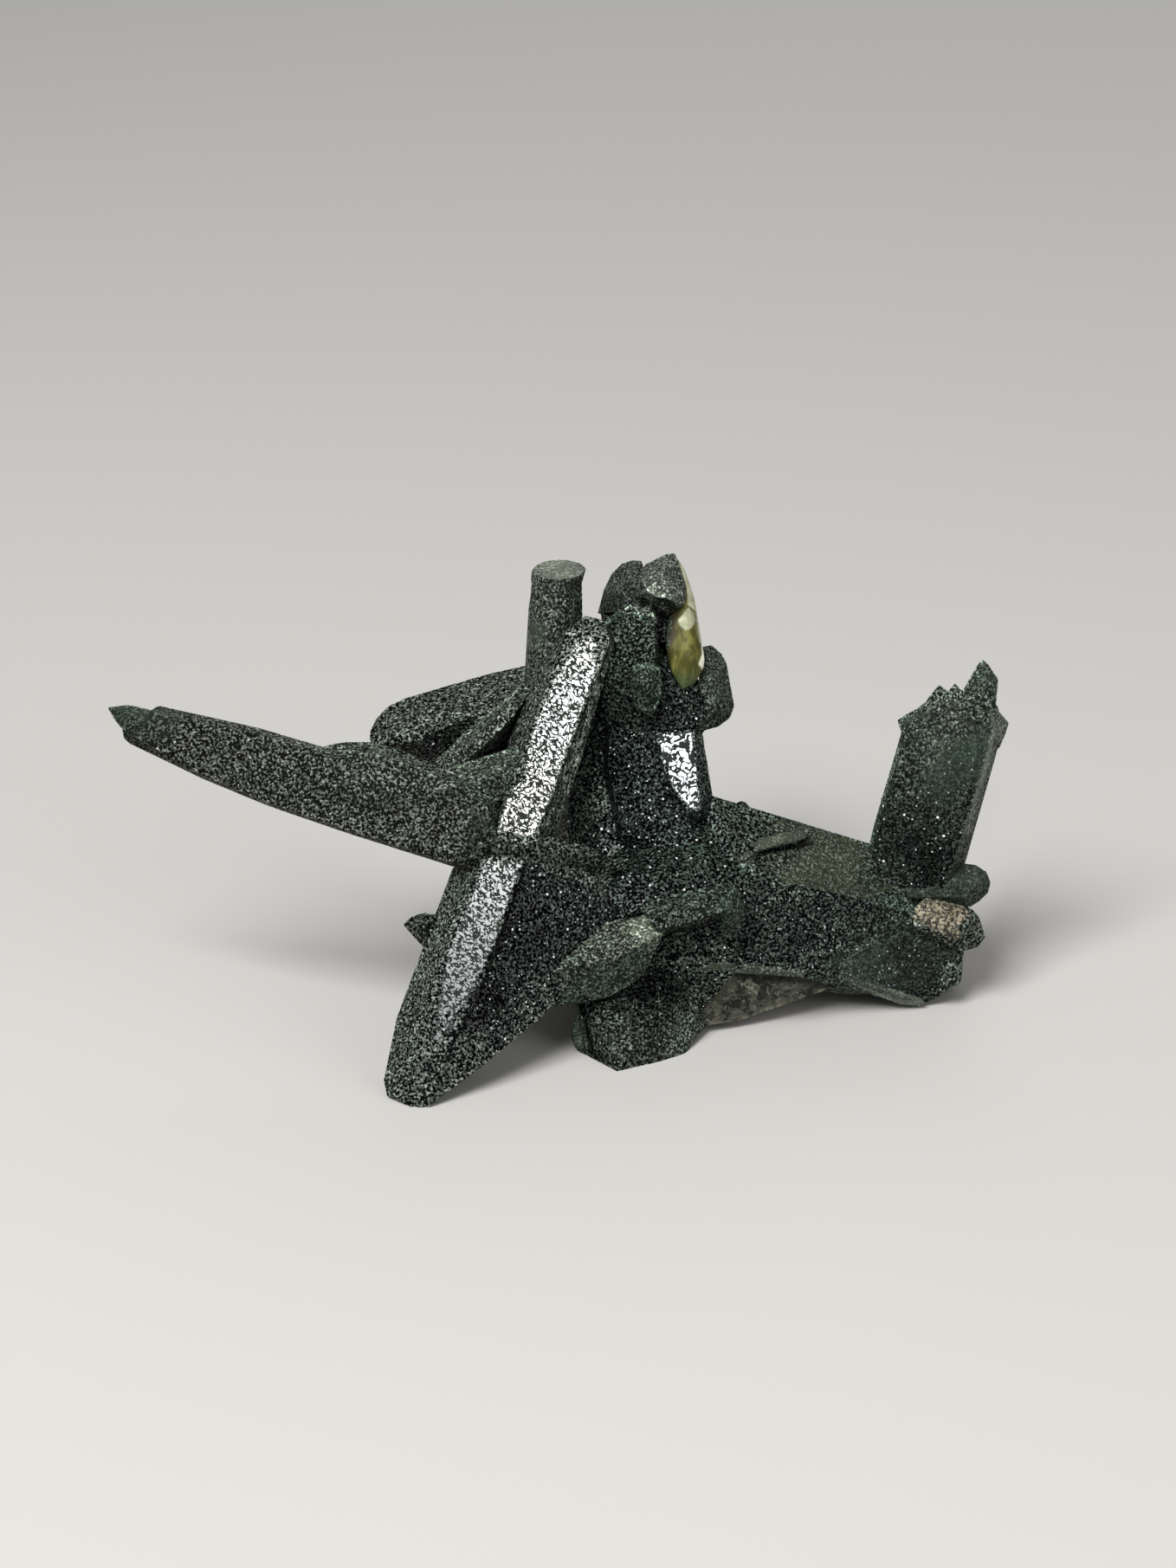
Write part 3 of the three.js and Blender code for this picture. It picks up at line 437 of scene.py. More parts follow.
# How the crust lies on each crystal: lightness, partly painted light and shade that lifts crystals lying in shadow and
# dims lit ones, greenness, share of bright grains, coarseness.
CRUST = {
    "left_blade": (0.50, 0.20, 0.2, 0.78), "left_blade_upper": (0.68, 0.45, 0.12, 0.75), "left_blade_tip": (0.84, 0.75, 0.1, 0.5),
    "spine_lower": (0.72, 0.30, 0.7, 1.0), "spine_upper": (0.90, 0.30, 0.5, 1.0), "cross_blade": (0.58, 0.45, 0.3, 0.85),
    "side_stub": (0.56, 0.3, 0.3, 1.0),
    "top_prism": (1.03, 0.35, 0.55, 0.76), "top_prism_cap": (1.10, 0.20, 0.3, 0.8),
    "rear_left_blade": (0.64, 0.30, 0.4, 0.95), "slant_prism": (0.79, 0.40, 0.2, 0.80), "slant_blade": (0.90, 0.60, 0.2, 0.74),
    "jagged_crystal": (0.35, 1.0, 0.5, 0.84), "jagged_peak_a": (0.95, 0.45, 0.3, 0.80), "jagged_peak_b": (0.95, 0.45, 0.3, 0.80),
    "jagged_tip": (0.68, 0.90, 0.3, 0.66),
    "summit_left": (0.62, 0.3, 0.5, 0.60), "summit_pyramid": (0.92, 0.15, 0.8, 0.64), "summit_neck": (0.30, 0.3, 0.1, 0.6),
    "summit_column": (0.32, 0.75, 0.8, 0.9), "summit_flank": (0.80, 0.50, 0.4, 0.66), "inner_crystal": (0.265, 1.0, 1.0, 1.0),
    "mirror_faced_crystal": (0.5, 0.9, 0.8, 1.0),
    "slab": (0.72, 0.75, 0.8, 1.0), "slab_knob": (0.8, 0.4, 0.3, 1.0), "slab_rib": (1.25, 0.25, 0.1, 0.35),
    "slab_lip_left": (1.7, 0.3, 0.2, 0.4), "slab_lip_right": (2.0, 0.15, 0.0, 0.2),
    "slab_corner": (1.19, 0.5, 0.3, 0.8), "slab_underside_rib": (0.9, 0.3, 0.2, 0.4), "end_lobe": (0.60, 0.60, 0.1, 0.32),
    "slab_underside": (1.02, 0.2, 0.2, 0.25), "end_broken": (1.0, 0.3, 0.3, 0.8),
    "upright": (0.62, 0.66, 0.8, 0.66), "upright_shoulder": (1.15, 0.7, 0.4, 0.7), "upright_peak_a": (1.1, 0.5, 0.5, 0.8),
    "upright_peak_b": (1.1, 0.5, 0.5, 0.8), "upright_spike": (1.15, 0.65, 0.3, 0.7), "upright_edge": (1.28, 0.2, 0.2, 0.4),
    "front_blade": (0.90, 0.30, 0.2, 0.76), "front_prism": (0.52, 0.70, 0.3, 0.75), "front_prism_end": (0.80, 0.85, 0.3, 0.62),
    "lower_chunk": (0.40, 0.55, 0.8, 0.85), "lower_chunk_rim": (0.80, 0.55, 0.1, 0.5),
    "core": (1.50, 0.60, 1.0, 1.0), "core_bridge": (0.33, 0.80, 0.5, 1.0), "core_front": (0.34, 0.95, 0.6, 1.0),
    "core_underside": (0.70, 0.75, 0.8, 1.0),
}
# Crystals whose crust leans to olive rather than grey-green.
WARM = {"left_blade": 0.42, "left_blade_upper": 0.40, "left_blade_tip": 0.6, "top_prism": 0.35, "slant_prism": 0.3,
        "slant_blade": 0.4, "jagged_crystal": 0.45, "jagged_tip": 0.4, "jagged_peak_a": 0.4, "jagged_peak_b": 0.4, "summit_left": 0.2,
        "summit_flank": 0.25, "upright": 0.35, "upright_spike": 0.5, "upright_peak_a": 0.4, "upright_peak_b": 0.4, "slab_lip_left": 0.4,
        "slab_lip_right": 0.2, "end_broken": 0.5, "slab": 0.1, "spine_lower": 0.05, "lower_chunk": 0.3, "mirror_faced_crystal": 0.0, "inner_crystal": 0.0, "lower_chunk_rim": 0.4, "front_blade": 0.45, "top_prism_cap": 0.35, "slab_rib": 0.5, "cross_blade": 0.15}
# How much lighter the crystals' edges are: a painted highlight where the edges catch the light.
EDGES = {"spine_lower": 0.0, "spine_upper": 0.3, "front_blade": 0.15, "front_prism": 0.4, "core_front": 0.0, "cross_blade": 0.15, "core": 0.0,
         "slab": 0.15, "lower_chunk": 0.0, "slab_rib": 0.0, "end_lobe": 1.0, "front_prism_end": 0.2, "jagged_crystal": 0.3, "left_blade_tip": 0.2, "left_blade": 0.25, "left_blade_upper": 0.2, "inner_crystal": 0.2, "top_prism_cap": 0.0, "top_prism": 0.0, "summit_pyramid": 1.0,
         "rear_left_blade": 0.5, "upright_spike": 1.0, "slab_lip_left": 0.0, "slab_lip_right": 0.0, "core_underside": 0.0, "core_bridge": 0.0}
# Round bright grains standing out of the crust, by crystal; set high on crystals lying in shade, where their near-white
# colour is partly a painted glint.
DROPS = {"upright": 0.45, "core": 1.15, "core_front": 0.7, "core_underside": 0.9, "inner_crystal": 0.7, "slab": 0.40, "spine_upper": 0.3,
         "rear_left_blade": 0.3, "left_blade": 0.05, "left_blade_upper": 0.05, "front_prism_end": 0.0, "slant_blade": 0.0, "slant_prism": 0.05,
         "cross_blade": 0.15, "jagged_tip": 0.05, "jagged_crystal": 0.1, "top_prism": 0.25,
         "summit_column": 0.8, "summit_flank": 0.4, "lower_chunk": 0.35, "lower_chunk_rim": 0.0, "front_blade": 0.0, "front_prism": 0.1,
         "end_lobe": 0.0, "slab_rib": 0.0, "slab_lip_left": 0.0, "slab_lip_right": 0.0, "upright_edge": 0.0, "top_prism_cap": 0.0,
         "left_blade_tip": 0.0, "mirror_faced_crystal": 0.4}
# Faces that differ from the rest of their crystal, their lightness mostly painted light and shade for how they face the
# lamps: crystals, way they face, cosine limit, lightness, coarseness, greenness, olive, share of bright grains, share
# of round ones.
FACES = [
    (("spine_lower",), (0.75, -0.65, 0.0), 0.88, 0.47, 1.0, 0.45, 0.0, 1.3, 0.7),
    (("spine_lower",), (-0.9, -0.4, 0.0), 0.80, 1.55, 1.0, 0.30, 0.05, 0.8, 0.1),
    (("spine_upper",), (0.75, -0.65, 0.0), 0.80, 2.3, 1.0, 0.08, 0.18, 1.4, 1.0),
    (("front_blade",), (0.52, -0.75, -0.41), 0.80, 1.20, 0.62, 0.75, 0.35, 0.0, 0.0),
    (("upright", "upright_edge"), (1.0, -0.3, 0.0), 0.75, 3.2, 0.35, 0.15, 0.1, 0.0, 0.0),
    (("top_prism_cap",), (0.0, -0.2, 1.0), 0.85, 1.72, 0.62, 0.0, 0.30, 0.2, 0.0),
    (("summit_pyramid",), (0.0, -0.8, -0.5), 0.8, 0.30, 0.8, 0.4, 0.1, 0.6, 0.2),
    (("rear_left_blade", "slant_prism"), (0.2, -0.3, -1.0), 0.60, 1.0, 1.0, 0.3, 0.1, 1.0, 1.0),
    (("slab",), (0.0, -0.55, 0.83), 0.90, 1.04, 0.62, 0.25, 0.80, 0.3, 0.1),
    (("slab",), (0.0, -1.0, 0.0), 0.86, 0.94, 1.0, 0.70, 0.05, 1.0, 0.5),
]
RAGGED = ("slab", "front_blade", "summit_pyramid")
# Faces with streaks along their length: crystals, way they face, cosine limit, share.
STREAKED = [
    (("spine_upper",), (0.75, -0.65, 0.0), 0.80, 1.0),
    (("slab",), (0.0, -1.0, 0.0), 0.86, 0.25),
    (("upright",), (0.0, -1.0, 0.0), 0.8, 0.15),
]
# Patches where the crust is lighter, darker, greener or smoother; much of their lightness is painted light in shadows
# and recesses and painted shade on lit spots: crystal, place in the drawing, radius, lightness, greenness, smoother.
PATCHES = [
    ("upright", 1105, 838, 75, 1.55, 0.1, 0.20), ("upright", 1098, 824, 42, 1.15, -0.4, -0.22), ("upright", 1120, 880, 34, 1.1, 0.2, 0.5), ("upright", 1090, 910, 30, 1.1, 0.2, 0.45), ("upright_shoulder", 1098, 818, 50, 1.2, -0.4, -0.2), ("upright", 1050, 975, 75, 0.52, 0.2, 0.0), ("upright", 1085, 1005, 60, 0.52, 0.1, 0.0), ("upright_edge", 1152, 838, 28, 0.5, 0.0, 0.0),
    ("upright", 1060, 885, 44, 1.15, -0.1, -0.10),
    ("spine_lower", 490, 1190, 70, 0.80, 0.0, 0.0), ("spine_lower", 545, 1000, 60, 0.85, 0.2, 0.0),
    ("left_blade", 590, 975, 60, 0.85, 0.3, 0.1), ("left_blade", 575, 940, 40, 0.9, 0.4, 0.2), ("left_blade", 160, 850, 40, 0.8, 0.4, 0.2),
    ("spine_lower", 590, 1085, 45, 0.75, 0.0, 0.0), ("spine_lower", 562, 1165, 42, 0.50, 0.0, 0.0), ("spine_lower", 630, 1165, 50, 2.2, -0.2, 0.0),
    ("spine_lower", 575, 1210, 40, 2.0, -0.2, 0.0), ("spine_lower", 545, 1245, 36, 1.5, -0.2, 0.0), ("spine_lower", 705, 1030, 40, 1.2, 0.1, 0.2),
    ("slab", 950, 1005, 70, 1.15, 0.0, 0.1), ("slab", 1035, 1085, 95, 0.95, 0.1, 0.28), ("slab", 1085, 1120, 60, 0.85, 0.0, 0.2),
    ("slab", 870, 1060, 50, 0.64, 0.0, -0.2), ("slab_underside", 832, 1162, 36, 0.72, 0.0, 0.0), ("slab", 945, 1055, 60, 0.72, 0.0, 0.0), ("slab", 1060, 1118, 50, 0.8, 0.0, 0.2), ("slab", 850, 950, 55, 0.72, 0.5, -0.4), ("slab", 1000, 1128, 46, 1.5, 0.0, 0.4),
    ("slab", 900, 985, 30, 0.8, 0.2, -0.2), ("slab", 1010, 1010, 30, 0.8, 0.4, -0.2),
    ("lower_chunk", 794, 1196, 30, 3.4, 0.0, 0.1), ("lower_chunk", 742, 1216, 46, 1.45, -0.2, 0.1), ("lower_chunk", 694, 1196, 26, 1.5, 0.1, 0.0), ("lower_chunk", 804, 1170, 26, 1.9, 0.0, 0.0), ("lower_chunk", 730, 1137, 30, 1.3, 0.0, 0.0), ("lower_chunk", 722, 1220, 18, 0.8, 0.0, 0.0), ("lower_chunk", 757, 1150, 44, 0.52, 0.0, 0.0),
    ("lower_chunk", 704, 1208, 16, 1.3, 0.0, 0.0), ("lower_chunk", 775, 1158, 26, 0.8, 0.0, 0.0),
    ("front_blade", 754, 1066, 34, 2.3, 0.0, 0.2), ("front_blade", 676, 1094, 34, 1.25, 0.0, 0.0), ("front_blade", 655, 1112, 34, 0.85, 0.2, 0.0),
    ("summit_pyramid", 762, 676, 24, 1.5, 0.0, 0.0), ("inner_crystal", 780, 990, 60, 1.3, 0.2, 0.0),
    ("top_prism", 614, 730, 22, 1.3, 0.1, 0.4), ("top_prism_cap", 645, 655, 30, 1.3, -0.1, 0.3), ("left_blade", 185, 835, 30, 1.1, 0.3, 0.5),
    ("core", 704, 964, 38, 0.25, 0.0, 0.0), ("jagged_crystal", 742, 735, 30, 1.45, 0.0, 0.0), ("jagged_crystal", 700, 790, 34, 2.8, -0.1, 0.0), ("jagged_crystal", 702, 752, 22, 1.8, -0.1, 0.0), ("jagged_crystal", 712, 835, 30, 1.5, 0.0, 0.0), ("spine_upper", 655, 900, 50, 1.3, 0.0, 0.0),
    ("core_front", 720, 985, 40, 0.6, 0.0, 0.0), ("inner_crystal", 732, 972, 34, 0.45, 0.0, 0.0), ("inner_crystal", 716, 900, 34, 0.6, 0.0, 0.0),
    ("summit_flank", 835, 815, 26, 1.3, 0.0, 0.0), ("left_blade", 180, 850, 50, 0.78, 0.0, 0.0), ("left_blade", 245, 868, 50, 0.82, 0.0, 0.0), ("left_blade", 508, 980, 40, 0.85, 0.0, 0.0),
]
# Thin lines of lighter or darker crust, most of them painted shadows under ledges and lips and painted highlights on
# rims and ridges: crystals, run of the line in the drawing, half width, lightness.
LINES = [
    (("lower_chunk", "lower_chunk_rim"), [[669, 1160], [676, 1180], [681, 1198], [683, 1214]], 4, 0.08),
    (("lower_chunk_rim", "lower_chunk"), [[665, 1164], [665, 1190], [670, 1208]], 5, 3.2),
    (("lower_chunk",), [[694, 1222], [684, 1216]], 5, 0.3),
    (("lower_chunk",), [[759, 1142], [763, 1158], [762, 1174]], 3, 3.2),
    (("lower_chunk", "core_underside"), [[728, 1140], [742, 1147], [752, 1152]], 3, 1.9),
    (("lower_chunk",), [[710, 1170], [722, 1163], [736, 1170], [748, 1180]], 3, 0.35),
    (("lower_chunk",), [[716, 1238], [740, 1240], [764, 1234], [786, 1222]], 5, 1.9),
    (("lower_chunk",), [[700, 1150], [720, 1146], [744, 1152], [760, 1146], [790, 1140]], 8, 0.5),
    (("slab_underside",), [[806, 1126], [850, 1124], [900, 1130], [950, 1134], [990, 1142]], 7, 0.25),
    (("slab_underside",), [[816, 1182], [848, 1183], [880, 1168], [900, 1162]], 4, 1.8),
    (("core_underside", "slab", "front_blade", "front_prism", "front_prism_end"), [[738, 1049], [770, 1031], [816, 1024]], 3, 1.8),
    (("core_underside", "slab", "front_prism", "front_prism_end"), [[770, 1080], [800, 1070], [826, 1062]], 4, 0.4),
    (("summit_neck", "summit_column", "jagged_crystal", "jagged_peak_b"), [[765, 712], [766, 730], [767, 752]], 7, 0.25),
    (("core_underside", "slab"), [[800, 1126], [804, 1136], [802, 1146]], 5, 1.9),
    (("jagged_peak_a", "jagged_crystal"), [[694, 724], [712, 709], [721, 702], [729, 699], [737, 707], [741, 716]], 3, 3.0),
    (("jagged_peak_b", "jagged_crystal"), [[741, 712], [746, 705], [754, 711], [760, 724]], 3, 2.9),
    (("jagged_crystal",), [[760, 724], [757, 738], [751, 748]], 3, 1.6),
    (("jagged_tip", "jagged_crystal"), [[731, 770], [746, 768], [762, 773], [764, 804], [752, 827]], 3, 2.2),
    (("jagged_crystal",), [[726, 776], [722, 800], [736, 826]], 3, 0.5),
    (("summit_flank",), [[806, 842], [818, 837], [830, 830]], 4, 2.4),
    (("summit_flank",), [[812, 846], [828, 838], [842, 824]], 3, 0.5),
    (("summit_pyramid",), [[749, 680], [760, 688], [772, 690], [784, 697]], 4, 2.4),
    (("rear_left_blade",), [[433, 860], [455, 848], [480, 836], [520, 826], [556, 824]], 4, 1.8),
    (("slant_prism",), [[502, 880], [540, 846], [560, 829], [600, 795]], 3, 2.0),
    (("slant_prism",), [[530, 890], [556, 866], [575, 846], [594, 826]], 3, 1.9),
    (("slant_blade",), [[532, 885], [559, 874], [588, 868], [609, 866]], 3, 1.8),
    (("upright",), [[1004, 976], [1020, 917], [1036, 862]], 5, 3.6),
    (("upright", "upright_edge"), [[1147, 846], [1140, 880], [1131, 910], [1117, 962]], 3, 1.9),
    (("upright", "upright_edge"), [[1154, 858], [1145, 890], [1136, 920], [1122, 968]], 3, 0.55),
    (("upright", "upright_edge"), [[1133, 866], [1122, 910], [1108, 962]], 3, 0.6),
    (("left_blade", "left_blade_upper"), [[178, 822], [300, 843], [350, 862], [400, 866], [470, 880], [545, 915]], 3, 1.6),
    (("spine_lower",), [[606, 997], [579, 1080], [551, 1150], [519, 1212]], 5, 0.40),
    (("spine_lower",), [[520, 1258], [560, 1232], [627, 1176], [660, 1140]], 6, 1.7),
    (("spine_upper",), [[700, 744], [691, 775], [678, 830], [663, 886]], 4, 2.2),
    (("spine_upper",), [[704, 748], [680, 808], [655, 876], [630, 945]], 3, 0.35),
    (("core_front", "spine_lower", "cross_blade"), [[664, 984], [700, 992], [722, 1004]], 4, 1.7),
    (("core", "inner_crystal", "jagged_crystal", "core_front"), [[688, 837], [703, 855]], 1.5, 5.0),
    (("front_blade",), [[749, 1058], [739, 1072], [733, 1088]], 3, 1.5),
    (("front_blade",), [[682, 1111], [722, 1102], [766, 1078]], 2.5, 1.3),
    (("slab",), [[806, 1106], [832, 1104], [880, 1110], [930, 1117]], 5, 0.6),
    (("slab", "slab_rib"), [[872, 989], [893, 981], [916, 978], [936, 974]], 5, 0.25),
    (("slab_lip_right", "slab_lip_left"), [[950, 1126], [1000, 1144], [1040, 1158], [1066, 1160]], 4, 2.3),
    (("slab",), [[862, 1008], [900, 1021], [960, 1034]], 4, 1.35),
]

# The bare facets: outlines in the drawing, each on its crystal's front plane.
FACETS = {
    "spine_crystal": [
        ("spine_upper", [[574, 959], [578, 944], [583, 930], [590, 914], [597, 905], [606, 899], [605, 886], [609, 868],
                         [617, 840], [628, 812], [640, 781], [649, 752], [656, 731], [664, 724], [690, 727], [702, 739],
                         [692, 770], [679, 801], [667, 832], [655, 864], [644, 897], [632, 930], [619, 966], [600, 965]]),
        ("spine_lower", [[559, 992], [603, 997], [592, 1026], [580, 1060], [568, 1098], [556, 1134], [546, 1166],
                         [530, 1196], [512, 1214], [484, 1222], [492, 1180], [505, 1132], [520, 1090], [541, 1046]]),
    ],
    "mirror_faced_crystal": [
        ("mirror_faced_crystal", [[759, 848], [800, 845], [803, 880], [808, 932], [797, 935], [781, 914], [767, 882]]),
    ],
}
STAIN = [[1049, 1058], [1060, 1041], [1076, 1036], [1108, 1044], [1124, 1054], [1113, 1062], [1106, 1070], [1114, 1082], [1098, 1083],
         [1076, 1074]]

# Each crystal's real faces: its hull triangles with the coplanar ones counted once.
SIDES = {}
for name, (n, off) in PLANES.items():
    keep = []
    for i in range(len(n)):
        if all(n[i] @ n[j] < 0.9962 or abs(off[i] - off[j]) > 0.12 for j in keep):
            keep.append(i)
    SIDES[name] = n[keep], off[keep]


def plane_of(name):
    """The front plane of a crystal: a point on it and its normal towards the viewer."""
    entry = next(e for e in CRYSTALS if e[0] == name)
    _, (u0, v0, w0, su, sv), _ = entry
    p = [place(u, v, w0 + su * (u - u0) / UNIT_MM + sv * (v0 - v) / UNIT_MM)
         for u, v in ((u0, v0), (u0 + 60, v0), (u0, v0 - 60))]
    n = np.cross(p[1] - p[0], p[2] - p[0])
    n /= np.linalg.norm(n)
    return p[0], n if n[1] < 0 else -n


def inside_by(u, v, outline):
    """Signed distance in mm to an outline in the drawing, positive inside."""
    o = np.array(outline, float)
    a, b = o, np.roll(o, -1, 0)
    best, odd = np.full(len(u), 1e9), np.zeros(len(u), bool)
    for (ax, ay), (bx, by) in zip(a, b):
        ex, ey = bx - ax, by - ay
        t = np.clip(((u - ax) * ex + (v - ay) * ey) / (ex * ex + ey * ey), 0, 1)
        best = np.minimum(best, np.hypot(u - ax - t * ex, v - ay - t * ey))
        with np.errstate(divide="ignore", invalid="ignore"):
            odd ^= ((ay > v) != (by > v)) & (u < (bx - ax) * (v - ay) / (by - ay) + ax)
    return np.where(odd, best, -best) / UNIT_MM


def beside(u, v, run):
    """Distance to an open line in the drawing, in drawing units."""
    best = np.full(len(u), 1e9)
    for (ax, ay), (bx, by) in zip(run, run[1:]):
        ex, ey = bx - ax, by - ay
        t = np.clip(((u - ax) * ex + (v - ay) * ey) / (ex * ex + ey * ey), 0, 1)
        best = np.minimum(best, np.hypot(u - ax - t * ex, v - ay - t * ey))
    return best


def owner_of(p, names):
    """Which of the crystals each surface point belongs to."""
    best, who = np.full(len(p), -1e9), np.zeros(len(p), int)
    for k, name in enumerate(names):
        n, off = PLANES[name]
        d = (off[None] - p @ n.T).min(1)
        take = d > best
        best[take], who[take] = d[take], k
    return who


def crisp(p, names, who, voxel):
    """Put the skin on its crystals' faces and its corners on their edges; how near an edge each point is, and its face."""
    near_edge, side = np.full(len(p), 9.0), np.zeros(len(p), int)
    for k, name in enumerate(names):
        at = np.where(who == k)[0]
        if not len(at):
            continue
        n, off = SIDES[name]
        cosine = n @ n.T
        sine = np.sqrt(np.maximum(1 - cosine ** 2, 1e-6))
        q, rows = p[at], np.arange(len(at))
        d = off[None] - q @ n.T
        first = np.abs(d).argmin(1)
        hit = np.abs(d[rows, first]) < voxel * 0.9
        q[hit] += n[first[hit]] * d[rows, first][hit][:, None]
        for share in (0.55, 0.45):
            run = (off[None] - q @ n.T) / sine[first]
            run[(cosine[first] > 0.996) | (run < -voxel)] = 9.0
            second = np.abs(run).argmin(1)
            s = run[rows, second]
            go = hit & (np.abs(s) < voxel * share) & (np.abs(s) > 1e-5)
            way = (n[second] - cosine[first, second][:, None] * n[first]) / sine[first, second][:, None]
            q[go] += way[go] * s[go][:, None]
        for _ in range(5):
            d = off[None] - q @ n.T
            worst = d.argmin(1)
            out = d[rows, worst]
            go = (out < -1e-4) & (out > -0.5)
            q[go] += n[worst[go]] * out[go][:, None]
        p[at] = q
        d = off[None] - q @ n.T
        on = np.abs(d).argmin(1)
        side[at] = k * 64 + on
        reachable = np.where(cosine[on] < 0.94, np.maximum(d, 0) / np.maximum(sine[on], 0.01), 9.0)
        near_edge[at] = reachable.min(1)
    return near_edge, side


def spikes(at, normal, size, rng):
    """Three-sided crystal tips, sunk where they sit."""
    n = len(at)
    r = rng.normal(size=(n, 3))
    axis = normal * rng.uniform(0.3, 1.5, n)[:, None] + r / np.linalg.norm(r, axis=1)[:, None]
    axis /= np.linalg.norm(axis, axis=1)[:, None]
    e1 = np.cross(axis, rng.normal(size=(n, 3)))
    e1 /= np.linalg.norm(e1, axis=1)[:, None]
    e2 = np.cross(axis, e1)
    base = at - axis * (0.35 * size)[:, None]
    out = [at + axis * (size * rng.uniform(0.10, 0.42, n))[:, None]]
    for k in range(3):
        t = k * 2.0944 + rng.uniform(-0.4, 0.4, n)
        rad = size * rng.uniform(0.36, 0.6, n)
        out.append(base + e1 * (rad * np.cos(t))[:, None] + e2 * (rad * np.sin(t))[:, None])
    f = np.array([[0, 1, 2], [0, 2, 3], [0, 3, 1], [3, 2, 1]])
    return np.stack(out, 1).reshape(-1, 3), (np.arange(n)[:, None, None] * 4 + f[None]).reshape(-1, 3)


def smooth01(x, lo, hi):
    t = np.clip((x - lo) / (hi - lo), 0, 1)
    return t * t * (3 - 2 * t)


def build_mesh(name, verts, quads, tris, smooth_quads, attributes):
    """A mesh in metres from parts in mm, with a bake layout of one small cell to each face."""
    me = bpy.data.meshes.new(name)
    nq, nt = len(quads), len(tris)
    me.vertices.add(len(verts))
    me.vertices.foreach_set("co", (verts * 0.001).astype(np.float32).ravel())
    loops = np.concatenate([quads.ravel(), tris.ravel()]).astype(np.int32)
    me.loops.add(len(loops))
    me.loops.foreach_set("vertex_index", loops)
    start = np.concatenate([np.arange(nq) * 4, nq * 4 + np.arange(nt) * 3]).astype(np.int32)
    me.polygons.add(nq + nt)
    me.polygons.foreach_set("loop_start", start)
    flags = np.zeros(nq + nt, bool)
    flags[:nq] = smooth_quads
    me.polygons.foreach_set("use_smooth", flags)
    me.update(calc_edges=True)
    for label, values in attributes.items():
        layer = me.attributes.new(label, "FLOAT", "POINT")
        layer.data.foreach_set("value", values.astype(np.float32))

    # Bake layout: a square grid of cells, a quad or two triangles in each.
    cells = nq + (nt + 1) // 2
    side = int(math.ceil(math.sqrt(cells)))
    index = np.arange(cells)
    corner = np.stack([index % side, index // side], 1) / side
    lo, hi = 0.14 / side, 0.86 / side
    square = np.array([[lo, lo], [hi, lo], [hi, hi], [lo, hi]])
    uv_q = corner[:nq, None, :] + square[None]
    first = np.array([[lo, lo], [hi - 0.12 / side, lo], [lo, hi - 0.12 / side]])
    second = np.array([[hi, hi], [lo + 0.12 / side, hi], [hi, lo + 0.12 / side]])
    t = np.arange(nt)
    uv_t = corner[nq + t // 2][:, None, :] + np.where((t % 2 == 0)[:, None, None], first[None], second[None])
    uv = me.uv_layers.new(name="OFBake")
    uv.data.foreach_set("uv", np.concatenate([uv_q.reshape(-1, 2), uv_t.reshape(-1, 2)]).astype(np.float32).ravel())
    return me


TOTAL = 0


